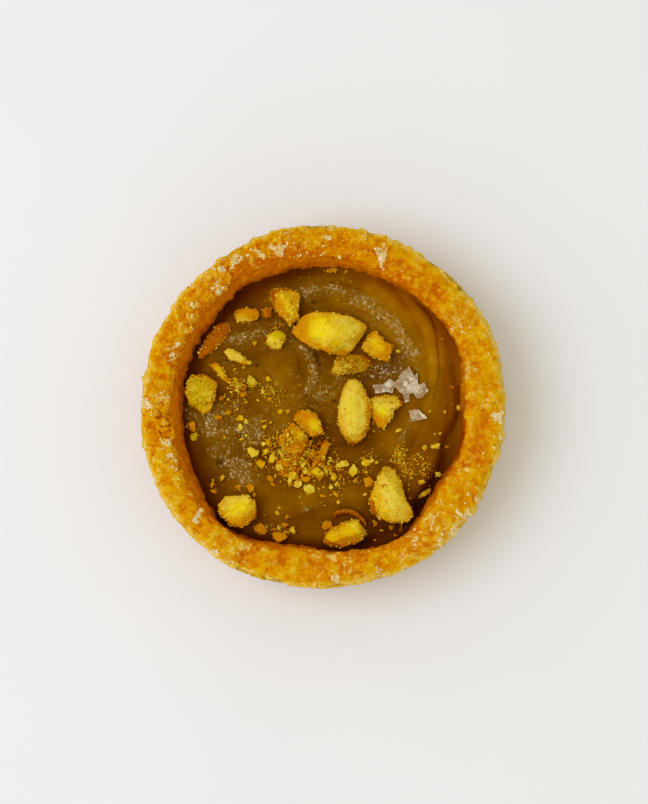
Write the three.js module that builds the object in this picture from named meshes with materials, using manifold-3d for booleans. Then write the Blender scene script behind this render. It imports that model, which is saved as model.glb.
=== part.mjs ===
// A small round tart: a crumbly ring-baked crust, a set cream filling swirled with a spoon,
// and roughly chopped pistachios with a flake of salt pressed into the top.
// Millimetres, +Z up. The origin is the middle of the flat underside, on the surface it stands on.
import * as THREE from "three";
import { mergeVertices } from "three/addons/utils/BufferGeometryUtils.js";
import Module from "manifold-3d";

const wasm = await Module();
wasm.setup();

// ---------------------------------------------------------------- driving sizes
const RIM_RADIUS = 36.1; // mean outer radius at the rim
const BASE_RADIUS = 35.1; // mean outer radius just above the underside
const HEIGHT = 20; // underside to the crest of the rim
const LIP_RADIUS = 29.41; // mean radius where the rim top turns down into the hollow
const WALL_RADIUS = 28.51; // mean radius of the hollow at the level of the cream
const LIP_LEVEL = 18.2; // height where the moulded inner wall starts under the lip
const CREAM_LEVEL = 15.2; // mean level of the cream
const FLOOR = 4.5; // thickness of the crust under the cream
const WALL_DRAFT = 1.7; // how much narrower the hollow is at its floor
const GAP = 0.3; // clearance kept between touching pieces
const SINK = 0.8; // depth to which the nuts are pressed into the cream
const AROUND = 90; // facets round the crust
const CREAM_RINGS = 11; // facets from the middle of the cream to its edge

// Hand-pressed dough is never quite round: [lobes, size, phase in degrees] of each wave in an outline.
const RIM_WAVES = [[2, 0.22, -61], [3, 0.15, 81], [4, 0.15, -128], [5, 0.16, -118], [9, 0.06, 94], [13, 0.06, 118], [23, 0.05, 5]];
const LIP_WAVES = [[1, 0.87, -177], [2, 0.14, -148], [3, 0.11, 77], [4, 0.5, -132], [5, 0.37, -64], [6, 0.16, 51], [7, 0.19, 133], [8, 0.13, 144], [10, 0.13, 159], [11, 0.12, -176]];
const WALL_WAVES = [[1, 0.27, 79], [2, 0.41, -127], [3, 0.09, -76], [4, 0.54, -141], [5, 0.31, -70], [6, 0.31, 50], [7, 0.27, 153], [8, 0.13, 146], [9, 0.14, 107], [10, 0.2, -175]];
const CREST_WAVES = [[2, 0.12, 40], [5, 0.1, -20], [9, 0.08, 110], [14, 0.06, 15]];

// Spoon marks in the cream. Each is a spiral stroke about (x, y) from angle a0 to a1 (degrees)
// while its radius goes from r0 to r1, with a soft width w and a height h (below zero is a groove).
const STROKES = [
  { x: 0, y: 0, a0: 112, a1: -42, r0: 25.2, r1: 15.2, w: 2.6, h: 0.75 }, // broad ridge of the outer swirl
  { x: 0, y: 0, a0: 60, a1: -4, r0: 28.0, r1: 19.6, w: 1.1, h: -0.55 }, // step beside it, running in from the wall
  { x: 0, y: 0, a0: 24, a1: -62, r0: 27.6, r1: 26.8, w: 1.5, h: -1.3 }, // gap left along the wall on the right
  { x: 0, y: 0, a0: 152, a1: 112, r0: 24.2, r1: 17.6, w: 2.0, h: 0.45 }, // upper left ridge
  { x: -5.5, y: 4.8, a0: 130, a1: -75, r0: 5.8, r1: 4.4, w: 1.7, h: 0.6 }, // curl at the heart of the swirl
  { x: -5.5, y: 4.8, a0: 70, a1: -60, r0: 2.4, r1: 2.8, w: 0.9, h: -0.4 }, // groove inside the curl
  { x: 0, y: 0, a0: 176, a1: 228, r0: 21.5, r1: 20.5, w: 4.2, h: 0.5 }, // low mound on the left
  { x: 0, y: 0, a0: 286, a1: 250, r0: 19.2, r1: 22.0, w: 2.2, h: 0.35 }, // streak towards the front
];

// Chopped nuts. x, y: place; l, w, t: length, width, thickness; turn: compass turn of the length;
// pitch, roll: lean; point: how pointed the two ends are (0.5 round, 1 pointed); square: 1 oval, below 1 blocky;
// cuts: knife faces [compass direction, slope up, distance from the middle]; lift: extra height over the cream.
const NUTS = [
  { name: "pistachio_crumbly_piece", x: 5.3, y: 8.5, l: 8.2, w: 4.6, t: 2.8, turn: 10, point: [0.6, 0.6], square: 0.7, cuts: [[215, 20, 2.9], [-30, 30, 3.0]], tone: 0x8a7420 },
  { name: "pistachio_half_kernel", x: 1.55, y: 14.6, l: 16.6, w: 8.9, t: 4.8, turn: 1, roll: 5, point: [0.66, 0.72], square: 0.92, cuts: [[-52, 18, 4.9], [200, 40, 5.2]], tone: 0xe2cf3a, lift: 0.5 },
  { name: "pistachio_cube", x: 10.6, y: 12.1, l: 7.4, w: 6.6, t: 3.6, turn: -38, point: [0.4, 0.4], square: 0.5, cuts: [[48, 14, 1.9], [132, 20, 2.4], [-20, 15, 2.6], [-112, 8, 2.1], [190, 30, 2.7]], tone: 0xc69a28 },
  { name: "pistachio_long_kernel", x: 6.25, y: -1.0, l: 13.8, w: 6.7, t: 4.3, turn: 96.8, point: [0.7, 0.6], square: 0.95, cuts: [[212, 25, 3.5]], tone: 0xe6d155 },
  { name: "pistachio_wedge", x: 12.4, y: -0.9, l: 10.4, w: 8.8, t: 3.4, turn: 12, point: [0.4, 0.45], square: 0.5, cuts: [[83, 8, 2.5], [-40, 14, 1.7], [180, 16, 3.0], [-105, 12, 3.2]], tone: 0xd6b82c },
  { name: "pistachio_shield", x: -7.2, y: 20.3, l: 9.0, w: 7.6, t: 3.8, turn: -64, point: [0.4, 0.5], square: 0.6, cuts: [[227, 18, 2.2], [-5, 16, 2.9], [95, 24, 3.0]], tone: 0xcda428 },
  { name: "pistachio_green_oval", x: -9.4, y: 13.5, l: 4.8, w: 4.1, t: 3.0, turn: 20, point: [0.5, 0.5], square: 0.85, cuts: [[120, 30, 2.0]], tone: 0xb9b030 },
  { name: "pistachio_small_block", x: -15.2, y: 18.3, l: 5.7, w: 2.8, t: 2.2, turn: 5, point: [0.4, 0.4], square: 0.6, cuts: [[95, 40, 1.3]], tone: 0xc3a12c },
  { name: "pistachio_skin_piece", x: -21.6, y: 13.1, l: 10.2, w: 3.8, t: 2.0, turn: 48.7, point: [0.7, 0.6], square: 0.8, cuts: [[-42, 45, 1.5]], tone: 0x8c5512 },
  { name: "pistachio_pale_sliver", x: -17.3, y: 10.5, l: 6.3, w: 2.1, t: 1.4, turn: -27, point: [0.6, 0.8], square: 0.9, cuts: [], tone: 0xdcc24a },
  { name: "pistachio_orange_sliver", x: -20.5, y: 7.0, l: 6.8, w: 2.0, t: 1.5, turn: -51, point: [0.6, 0.6], square: 0.8, cuts: [], tone: 0xb4761a },
  { name: "pistachio_rough_block", x: -24.0, y: 2.9, l: 10.4, w: 8.0, t: 3.9, turn: -75, point: [0.4, 0.5], square: 0.6, cuts: [[180, 10, 3.0], [95, 20, 3.8], [-5, 16, 3.0], [222, 12, 3.0], [-37, 14, 3.1]], tone: 0xb9a62c },
  { name: "pistachio_browned_chunk", x: -5.7, y: -6.3, l: 7.4, w: 6.8, t: 3.4, turn: 20, point: [0.45, 0.5], square: 0.65, cuts: [[70, 40, 2.8], [230, 35, 3.0]], tone: 0xb98620 },
  { name: "pistachio_folded_slab", x: -3.0, y: -3.3, l: 8.4, w: 5.8, t: 1.8, turn: -45, pitch: 4, roll: -14, point: [0.35, 0.35], square: 0.45, cuts: [[83, 8, 2.5], [24, 12, 2.3], [-60, 10, 3.0], [-127, 8, 1.8], [190, 14, 2.4]], tone: 0xcfa32a, lift: 1.4 },
  { name: "pistachio_round_end", x: -16.8, y: -20.5, l: 8.2, w: 6.9, t: 5.0, turn: 5, point: [0.5, 0.45], square: 0.85, cuts: [[85, 30, 3.1]], tone: 0xd8bb34 },
  { name: "pistachio_oval", x: 4.4, y: -24.85, l: 9.1, w: 5.1, t: 3.6, turn: 18, point: [0.55, 0.6], square: 0.8, cuts: [[168, 25, 3.6]], tone: 0xc9b030 },
  { name: "pistachio_pear", x: 13.1, y: -17.5, l: 13.4, w: 9.2, t: 4.4, turn: -70, pitch: 2, point: [0.75, 0.4], square: 0.7, cuts: [[21, 10, 2.5], [-68, 14, 5.2], [-117, 16, 4.7], [160, 12, 3.6]], tone: 0xe0c640 },
];
const SALT = { name: "salt_flake", x: 17.2, y: 4.7, radius: 3.2, t: 1.1, sides: 8, turn: 12, pitch: -5, roll: 6, lift: 0.25, tone: 0xe9dcd2 };

// ---------------------------------------------------------------- helpers
const rad = (deg) => (deg * Math.PI) / 180;
const mix = (a, b, t) => a + (b - a) * t;
const smooth = (t) => {
  const s = Math.min(1, Math.max(0, t));
  return s * s * (3 - 2 * s);
};
const waves = (th, list) => list.reduce((sum, [k, size, phase]) => sum + size * Math.cos(k * th + rad(phase)), 0);

// A closed solid from rings of equal length: first and last entries are single points on the axis.
function loft(rings) {
  const points = [];
  const faces = [];
  const start = rings.map((ring) => {
    const at = points.length / 3;
    for (const p of ring) points.push(...p);
    return at;
  });
  for (let i = 0; i + 1 < rings.length; i++) {
    const a = rings[i].length;
    const b = rings[i + 1].length;
    const n = Math.max(a, b);
    for (let j = 0; j < n; j++) {
      const k = (j + 1) % n;
      const a0 = start[i] + (a === 1 ? 0 : j);
      const a1 = start[i] + (a === 1 ? 0 : k);
      const b0 = start[i + 1] + (b === 1 ? 0 : j);
      const b1 = start[i + 1] + (b === 1 ? 0 : k);
      if (b > 1) faces.push(a0, b1, b0);
      if (a > 1) faces.push(a0, a1, b1);
    }
  }
  const g = new THREE.BufferGeometry();
  g.setAttribute("position", new THREE.Float32BufferAttribute(points, 3));
  g.setIndex(faces);
  return g;
}

function solid(geometry) {
  const g = geometry.clone();
  g.deleteAttribute("normal");
  g.deleteAttribute("uv");
  const m = mergeVertices(g, 1e-4);
  return new wasm.Manifold(
    new wasm.Mesh({ numProp: 3, vertProperties: new Float32Array(m.attributes.position.array), triVerts: new Uint32Array(m.index.array) }),
  );
}

function meshOf(name, made, tone, roughness) {
  const m = made.getMesh();
  const g = new THREE.BufferGeometry();
  g.setAttribute("position", new THREE.BufferAttribute(new Float32Array(m.vertProperties), 3));
  g.setIndex(new THREE.BufferAttribute(new Uint32Array(m.triVerts), 1));
  g.computeVertexNormals();
  const mesh = new THREE.Mesh(g, new THREE.MeshStandardMaterial({ color: tone, roughness, metalness: 0 }));
  mesh.name = name;
  return mesh;
}

// ---------------------------------------------------------------- crust
const rimOuter = (th) => RIM_RADIUS + waves(th, RIM_WAVES);
const baseOuter = (th) => BASE_RADIUS + 0.5 * waves(th, RIM_WAVES);
const lipEdge = (th) => Math.max(LIP_RADIUS + waves(th, LIP_WAVES), wallEdge(th) + 0.05);
const wallEdge = (th) => WALL_RADIUS + waves(th, WALL_WAVES);
const crest = (th) => HEIGHT - 0.25 + waves(th, CREST_WAVES);

// Radius of the hollow at height z.
function hollow(th, z) {
  const wall = wallEdge(th);
  if (z >= CREAM_LEVEL) return mix(wall, lipEdge(th), Math.min(1, (z - CREAM_LEVEL) / (LIP_LEVEL - CREAM_LEVEL)));
  return wall - WALL_DRAFT * ((CREAM_LEVEL - z) / (CREAM_LEVEL - FLOOR));
}

// Section of the crust at angle th, from the middle of the underside round the rim to the middle of the floor.
function section(th) {
  const out = rimOuter(th);
  const base = baseOuter(th);
  const lip = lipEdge(th);
  const top = crest(th);
  const side = (z) => mix(base, out, z / 17);
  return [
    [base - 1.3, 0],
    [base - 0.35, 0.35],
    [side(1.3), 1.3],
    [side(9), 9],
    [out, 17],
    [out - 0.12, top - 1.5],
    [out - 0.75, top - 0.5],
    [out - 1.9, top - 0.06],
    [mix(out, lip, 0.55), top],
    [lip + 1.3, top - 0.22],
    [lip + 0.4, top - 0.8],
    [lip, LIP_LEVEL],
    [hollow(th, CREAM_LEVEL), CREAM_LEVEL],
    [hollow(th, 9.5), 9.5],
    [hollow(th, FLOOR + 1.6), FLOOR + 1.6],
    [hollow(th, FLOOR + 0.4) - 0.7, FLOOR + 0.25],
    [hollow(th, FLOOR) - 2.0, FLOOR],
  ];
}

// Sections at every angle, turned into rings.
function aroundAxis(sectionAt, zStart, zEnd, count) {
  const sections = [];
  for (let j = 0; j < count; j++) sections.push(sectionAt((2 * Math.PI * j) / count));
  const rings = [[[0, 0, zStart]]];
  for (let i = 0; i < sections[0].length; i++) {
    rings.push(
      sections.map((s, j) => {
        const th = (2 * Math.PI * j) / count;
        return [s[i][0] * Math.cos(th), s[i][0] * Math.sin(th), s[i][1]];
      }),
    );
  }
  rings.push([[0, 0, zEnd]]);
  return loft(rings);
}
const crust = solid(aroundAxis(section, 0, FLOOR, AROUND));

// ---------------------------------------------------------------- cream
// Height of the cream at (x, y), with the spoon marks.
function creamHeight(x, y) {
  let z = CREAM_LEVEL + 0.25 * (1 - Math.hypot(x, y) / WALL_RADIUS);
  for (const s of STROKES) {
    const dx = x - s.x;
    const dy = y - s.y;
    const down = s.a1 < s.a0 ? -1 : 1;
    let along = (Math.atan2(dy, dx) * 180) / Math.PI - s.a0;
    while (along * down < -40) along += 360 * down;
    while (along * down > 320) along -= 360 * down;
    const t = along / (s.a1 - s.a0);
    const fade = smooth((t + 0.12) / 0.24) * smooth((1.12 - t) / 0.24);
    const off = (Math.hypot(dx, dy) - mix(s.r0, s.r1, t)) / s.w;
    z += s.h * fade * Math.exp(-off * off);
  }
  return z;
}

// Everything inside the hollow, kept clear of the crust by the gap: it trims what lies against the wall.
const inside = (th, z) => hollow(th, z) - GAP;
const room = solid(
  aroundAxis((th) => [[inside(th, FLOOR) - 2, FLOOR + GAP], [inside(th, CREAM_LEVEL), CREAM_LEVEL], [inside(th, LIP_LEVEL), LIP_LEVEL], [inside(th, LIP_LEVEL), HEIGHT + 4]], FLOOR + GAP, HEIGHT + 4, AROUND),
);

function creamSection(th) {
  const edge = inside(th, CREAM_LEVEL);
  const rows = [
    [inside(th, FLOOR) - 2.1, FLOOR + GAP],
    [inside(th, FLOOR + 0.4) - 0.8, FLOOR + 0.25 + GAP],
    [inside(th, FLOOR + 1.6), FLOOR + 1.6 + GAP],
    [inside(th, 9.5), 9.5],
  ];
  for (let i = CREAM_RINGS; i >= 1; i--) {
    const r = edge * (i / CREAM_RINGS) ** 0.85;
    rows.push([r, creamHeight(r * Math.cos(th), r * Math.sin(th))]);
  }
  return rows;
}
let cream = solid(aroundAxis(creamSection, FLOOR + GAP, creamHeight(0, 0), 66));

// ---------------------------------------------------------------- nuts and salt
// A kernel lying along X: rings of a rounded section whose width follows an end-to-end curve.
function kernelShape(l, w, t, point, square) {
  const RINGS = 7;
  const SIDES = 10;
  const rings = [[[-l / 2, 0, 0]]];
  for (let i = 1; i < RINGS; i++) {
    const u = -Math.cos((Math.PI * i) / RINGS);
    const fat = (1 - u * u) ** (u < 0 ? point[0] : point[1]);
    rings.push(
      Array.from({ length: SIDES }, (_, j) => {
        const a = (2 * Math.PI * j) / SIDES;
        const c = Math.cos(a);
        const s = Math.sin(a);
        return [(l / 2) * u, (w / 2) * fat * Math.sign(c) * Math.abs(c) ** square, (t / 2) * fat * Math.sign(s) * Math.abs(s) ** square];
      }),
    );
  }
  rings.push([[l / 2, 0, 0]]);
  return loft(rings);
}

// A big block beyond a plane, to slice with. The plane faces direction dir, leaning up by slope.
function beyond(dir, slope, distance) {
  const n = new THREE.Vector3(Math.cos(rad(slope)) * Math.cos(rad(dir)), Math.cos(rad(slope)) * Math.sin(rad(dir)), Math.sin(rad(slope)));
  const g = new THREE.BoxGeometry(60, 60, 60);
  g.applyQuaternion(new THREE.Quaternion().setFromUnitVectors(new THREE.Vector3(0, 0, 1), n));
  g.translate(n.x * (distance + 30), n.y * (distance + 30), n.z * (distance + 30));
  return solid(g);
}

// Puts a solid made about its own middle on the cream.
function place(made, p, height) {
  const m = new THREE.Matrix4().compose(
    new THREE.Vector3(p.x, p.y, creamHeight(p.x, p.y) - SINK + height / 2 + (p.lift || 0)),
    new THREE.Quaternion().setFromEuler(new THREE.Euler(rad(p.roll || 0), rad(-(p.pitch || 0)), rad(p.turn), "ZYX")),
    new THREE.Vector3(1, 1, 1),
  );
  return made.transform(m.elements);
}

function nut(p, grow) {
  let made = solid(kernelShape(p.l + 2 * grow, p.w + 2 * grow, p.t + 2 * grow, p.point, p.square));
  for (const [dir, slope, distance] of p.cuts) made = made.subtract(beyond(dir - p.turn, slope, distance + grow));
  return place(made, p, p.t);
}

// A flat flake: a plate with uneven corners, thinner at its edge.
function flake(p, grow) {
  const plate = (z, shrink) =>
    Array.from({ length: p.sides }, (_, j) => {
      const a = (2 * Math.PI * j) / p.sides;
      const r = (p.radius + grow - shrink) * (1 + 0.1 * Math.cos(2 * a + 0.6) + 0.14 * Math.cos(3 * a + 1.9));
      return [r * Math.cos(a), r * Math.sin(a), z];
    });
  const half = p.t / 2 + grow;
  return place(solid(loft([[[0, 0, -half]], plate(-half, 0.5), plate(0, 0), plate(half, 0.7), [[0, 0, half]]])), p, p.t);
}

const pieces = [];
for (const p of [...NUTS, SALT]) {
  const shape = p === SALT ? flake : nut;
  let made = shape(p, 0).intersect(room);
  for (const q of pieces) made = made.subtract(q.grown);
  const parts = made.decompose();
  made = parts.reduce((big, one) => (one.volume() > big.volume() ? one : big));
  const grown = shape(p, GAP);
  cream = cream.subtract(grown);
  pieces.push({ p, made, grown });
}

// ---------------------------------------------------------------- the tart
const tart = new THREE.Group();
tart.name = "tartlet";
tart.add(meshOf("crust", crust, 0xd08c1e, 0.85));
const creamBody = cream.decompose().reduce((big, one) => (one.volume() > big.volume() ? one : big));
tart.add(meshOf("cream_filling", creamBody, 0x7a5c14, 0.45));
for (const { p, made } of pieces) tart.add(meshOf(p.name, made, p.tone, p === SALT ? 0.3 : 0.75));

export default tart;
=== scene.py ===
import bpy
import bmesh
import math
import numpy as np
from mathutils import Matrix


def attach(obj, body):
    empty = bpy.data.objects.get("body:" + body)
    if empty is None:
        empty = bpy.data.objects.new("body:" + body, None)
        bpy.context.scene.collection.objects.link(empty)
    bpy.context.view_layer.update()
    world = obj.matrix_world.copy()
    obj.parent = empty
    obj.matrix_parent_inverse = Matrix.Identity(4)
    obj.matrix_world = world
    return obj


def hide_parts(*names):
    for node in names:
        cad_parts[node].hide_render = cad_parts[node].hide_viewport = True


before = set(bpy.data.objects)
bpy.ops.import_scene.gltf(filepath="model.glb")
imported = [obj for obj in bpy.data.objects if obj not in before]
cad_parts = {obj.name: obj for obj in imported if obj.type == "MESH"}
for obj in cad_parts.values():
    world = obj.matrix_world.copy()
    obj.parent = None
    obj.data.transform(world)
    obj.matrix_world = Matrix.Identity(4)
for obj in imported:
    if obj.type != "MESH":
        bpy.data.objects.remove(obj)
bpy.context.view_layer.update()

MM = 0.001

# ------------------------------------------------------------------ sizes, as in the solids (millimetres)
RIM_RADIUS, BASE_RADIUS, HEIGHT = 36.1, 35.1, 20.0
LIP_RADIUS, WALL_RADIUS, LIP_LEVEL = 29.41, 28.51, 18.2
CREAM_LEVEL, FLOOR, WALL_DRAFT = 15.2, 4.5, 1.7
SINK = 0.8
RIM_WAVES = [(2, 0.22, -61), (3, 0.15, 81), (4, 0.15, -128), (5, 0.16, -118), (9, 0.06, 94), (13, 0.06, 118), (23, 0.05, 5)]
LIP_WAVES = [(1, 0.87, -177), (2, 0.14, -148), (3, 0.11, 77), (4, 0.5, -132), (5, 0.37, -64), (6, 0.16, 51), (7, 0.19, 133), (8, 0.13, 144), (10, 0.13, 159), (11, 0.12, -176)]
WALL_WAVES = [(1, 0.27, 79), (2, 0.41, -127), (3, 0.09, -76), (4, 0.54, -141), (5, 0.31, -70), (6, 0.31, 50), (7, 0.27, 153), (8, 0.13, 146), (9, 0.14, 107), (10, 0.2, -175)]
CREST_WAVES = [(2, 0.12, 40), (5, 0.1, -20), (9, 0.08, 110), (14, 0.06, 15)]


# ------------------------------------------------------------------ number helpers
def rad(d):
    return np.deg2rad(d)


def smooth(t):
    t = np.clip(t, 0.0, 1.0)
    return t * t * (3 - 2 * t)


def waves(th, table):
    return sum(a * np.cos(k * th + rad(p)) for k, a, p in table)


def _hash(ix, iy, iz, seed):
    with np.errstate(over="ignore"):
        h = (ix.astype(np.int64).astype(np.uint32) * np.uint32(374761393)) ^ (iy.astype(np.int64).astype(np.uint32) * np.uint32(668265263)) ^ (iz.astype(np.int64).astype(np.uint32) * np.uint32(2246822519)) ^ np.uint32((seed * 3266489917) & 0xFFFFFFFF)
        h = (h ^ (h >> np.uint32(15))) * np.uint32(2246822519)
        h = (h ^ (h >> np.uint32(13))) * np.uint32(3266489917)
        h = h ^ (h >> np.uint32(16))
    return h.astype(np.float64) / 4294967295.0


def vnoise(P, size, seed=0):
    """Smooth value noise in -1..1 at points P (n, 3), with cells of the given size in millimetres."""
    q = P / size
    i = np.floor(q)
    f = q - i
    f = f * f * f * (f * (f * 6 - 15) + 10)
    out = 0.0
    for dx in (0, 1):
        wx = f[..., 0] if dx else 1 - f[..., 0]
        for dy in (0, 1):
            wy = f[..., 1] if dy else 1 - f[..., 1]
            for dz in (0, 1):
                wz = f[..., 2] if dz else 1 - f[..., 2]
                out = out + wx * wy * wz * _hash(i[..., 0] + dx, i[..., 1] + dy, i[..., 2] + dz, seed)
    return out * 2 - 1


def fbm(P, size, octaves=3, seed=0, gain=0.5):
    total, amp, norm = 0.0, 1.0, 0.0
    for o in range(octaves):
        total = total + amp * vnoise(P, size / 2**o, seed + 17 * o)
        norm += amp
        amp *= gain
    return total / norm * 1.6


def cells(P, size, seed=0):
    """Distance to the nearest and second nearest scattered point (in cells), and that point's own random number."""
    q = P / size
    i = np.floor(q)
    best = np.full(q.shape[:-1], 9.0)
    second = np.full(q.shape[:-1], 9.0)
    own = np.zeros(q.shape[:-1])
    for dx in (-1, 0, 1):
        for dy in (-1, 0, 1):
            for dz in (-1, 0, 1):
                c = i + np.array([dx, dy, dz])
                p = np.stack([c[..., k] + _hash(c[..., 0], c[..., 1], c[..., 2], seed + 101 * k) for k in range(3)], -1)
                d = np.sqrt(((p - q) ** 2).sum(-1))
                nearer = d < best
                second = np.where(nearer, best, np.minimum(second, d))
                own = np.where(nearer, _hash(c[..., 0], c[..., 1], c[..., 2], seed + 977), own)
                best = np.where(nearer, d, best)
    return best, second, own


# ------------------------------------------------------------------ mesh helpers
COLL = bpy.context.scene.collection


def make_object(name, verts_mm, faces, material, attributes=None, flat=False):
    mesh = bpy.data.meshes.new(name)
    verts_mm = np.asarray(verts_mm, float).reshape(-1, 3)
    faces = np.asarray(faces, np.int32)
    n = faces.shape[1]
    mesh.vertices.add(len(verts_mm))
    mesh.vertices.foreach_set("co", (verts_mm * MM).astype(np.float32).ravel())
    mesh.loops.add(faces.size)
    mesh.loops.foreach_set("vertex_index", faces.ravel())
    mesh.polygons.add(len(faces))
    mesh.polygons.foreach_set("loop_start", np.arange(0, faces.size, n, dtype=np.int32))
    mesh.polygons.foreach_set("loop_total", np.full(len(faces), n, np.int32))
    mesh.update(calc_edges=True)
    mesh.validate()
    mesh.polygons.foreach_set("use_smooth", np.full(len(mesh.polygons), not flat, bool))
    for key, values in (attributes or {}).items():
        a = mesh.attributes.new(key, "FLOAT", "POINT")
        a.data.foreach_set("value", np.asarray(values, np.float32).ravel())
    mesh.materials.append(material)
    o = bpy.data.objects.new(name, mesh)
    COLL.objects.link(o)
    return o


def grid_faces(rings, around, tri_ok=False):
    i, j = np.meshgrid(np.arange(rings - 1), np.arange(around), indexing="ij")
    k = (j + 1) % around
    a, b = i * around, (i + 1) * around
    return np.stack([a + j, a + k, b + k, b + j], -1).reshape(-1, 4)


def ball(level):
    bm = bmesh.new()
    bmesh.ops.create_icosphere(bm, subdivisions=level, radius=1.0)
    bm.verts.ensure_lookup_table()
    v = np.array([x.co[:] for x in bm.verts])
    f = np.array([[x.index for x in q.verts] for q in bm.faces], np.int32)
    bm.free()
    v /= np.linalg.norm(v, axis=1)[:, None]
    return v, f


BALL = {k: ball(k) for k in (2, 3, 4, 5, 6)}


def vertex_normals(v, f):
    a, b, c = v[f[:, 0]], v[f[:, 1]], v[f[:, 2]]
    n = np.cross(b - a, c - a)
    out = np.zeros_like(v)
    for k in range(3):
        np.add.at(out, f[:, k], n)
    return out / np.maximum(np.linalg.norm(out, axis=1)[:, None], 1e-12)


# ------------------------------------------------------------------ node material helpers
class Nodes:
    def __init__(self, name):
        self.mat = bpy.data.materials.new(name)
        self.mat.use_nodes = True
        self.t = self.mat.node_tree
        self.t.nodes.clear()
        self.out = self.add("ShaderNodeOutputMaterial")
        self.bsdf = self.add("ShaderNodeBsdfPrincipled")
        self.t.links.new(self.bsdf.outputs[0], self.out.inputs[0])
        self.coord = self.add("ShaderNodeTexCoord").outputs["Object"]

    def add(self, kind, **props):
        n = self.t.nodes.new(kind)
        for k, v in props.items():
            setattr(n, k, v)
        return n

    def link(self, a, b):
        self.t.links.new(a, b)

    def attr(self, name):
        n = self.add("ShaderNodeAttribute", attribute_name=name, attribute_type="GEOMETRY")
        return n.outputs["Fac"]

    def noise(self, size_mm, detail=3.0, rough=0.5, distort=0.0, lac=2.0):
        n = self.add("ShaderNodeTexNoise")
        n.inputs["Scale"].default_value = 1000.0 / size_mm
        n.inputs["Detail"].default_value = detail
        n.inputs["Roughness"].default_value = rough
        n.inputs["Lacunarity"].default_value = lac
        n.inputs["Distortion"].default_value = distort
        self.link(self.coord, n.inputs["Vector"])
        return n.outputs["Fac"]

    def voronoi(self, size_mm, feature="F1", out="Distance", randomness=1.0):
        n = self.add("ShaderNodeTexVoronoi", feature=feature)
        n.inputs["Scale"].default_value = 1000.0 / size_mm
        n.inputs["Randomness"].default_value = randomness
        self.link(self.coord, n.inputs["Vector"])
        return n.outputs[out]

    def ramp(self, fac, stops, interp="LINEAR"):
        n = self.add("ShaderNodeValToRGB")
        n.color_ramp.interpolation = interp
        el = n.color_ramp.elements
        while len(el) < len(stops):
            el.new(0.5)
        for e, (p, c) in zip(el, stops):
            e.position = p
            e.color = (*c, 1.0) if isinstance(c, tuple) else (c, c, c, 1.0)
        self.link(fac, n.inputs[0])
        return n.outputs[0]

    def mix(self, fac, a, b, blend="MIX"):
        n = self.add("ShaderNodeMix", data_type="RGBA", blend_type=blend)
        for sock, val in ((n.inputs[0], fac), (n.inputs[6], a), (n.inputs[7], b)):
            if isinstance(val, bpy.types.NodeSocket):
                self.link(val, sock)
            elif isinstance(val, tuple):
                sock.default_value = (*val, 1.0)
            else:
                sock.default_value = val
        return n.outputs[2]

    def math(self, op, a, b=None, c=None, clamp=False):
        n = self.add("ShaderNodeMath", operation=op, use_clamp=clamp)
        for sock, val in zip(n.inputs, (a, b, c)):
            if val is None:
                continue
            if isinstance(val, bpy.types.NodeSocket):
                self.link(val, sock)
            else:
                sock.default_value = val
        return n.outputs[0]

    def span(self, value, lo, hi, to_lo=0.0, to_hi=1.0):
        n = self.add("ShaderNodeMapRange", clamp=True)
        self.link(value, n.inputs[0])
        for k, v in zip((1, 2, 3, 4), (lo, hi, to_lo, to_hi)):
            n.inputs[k].default_value = v
        return n.outputs[0]

    def bump(self, height, dist_mm, strength=1.0, after=None):
        n = self.add("ShaderNodeBump")
        n.inputs["Strength"].default_value = strength
        n.inputs["Distance"].default_value = dist_mm * MM
        self.link(height, n.inputs["Height"])
        if after is not None:
            self.link(after, n.inputs["Normal"])
        return n.outputs[0]

    def finish(self, color=None, rough=None, normal=None, spec=0.3, sss=0.0, sss_radius=(1.0, 0.4, 0.15), sss_scale_mm=1.0):
        p = self.bsdf
        for name, val in (("Base Color", color), ("Roughness", rough), ("Normal", normal)):
            if isinstance(val, bpy.types.NodeSocket):
                self.link(val, p.inputs[name])
            elif isinstance(val, tuple):
                p.inputs[name].default_value = (*val, 1.0)
            elif val is not None:
                p.inputs[name].default_value = val
        p.inputs["Specular IOR Level"].default_value = spec
        p.inputs["Subsurface Weight"].default_value = sss
        p.inputs["Subsurface Radius"].default_value = sss_radius
        p.inputs["Subsurface Scale"].default_value = sss_scale_mm * MM
        return self.mat


# ------------------------------------------------------------------ shape of the crust and of the cream
def rim_outer(th):
    return RIM_RADIUS + waves(th, RIM_WAVES)


def wall_edge(th):
    return WALL_RADIUS + waves(th, WALL_WAVES)


def lip_edge(th):
    return np.maximum(LIP_RADIUS + waves(th, LIP_WAVES), wall_edge(th) + 0.05)


def hollow(th, z):
    wall, lip = wall_edge(th), lip_edge(th)
    up = wall + (lip - wall) * np.clip((z - CREAM_LEVEL) / (LIP_LEVEL - CREAM_LEVEL), 0, 1)
    down = wall - WALL_DRAFT * ((CREAM_LEVEL - z) / (CREAM_LEVEL - FLOOR))
    return np.where(z >= CREAM_LEVEL, up, down)


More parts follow.
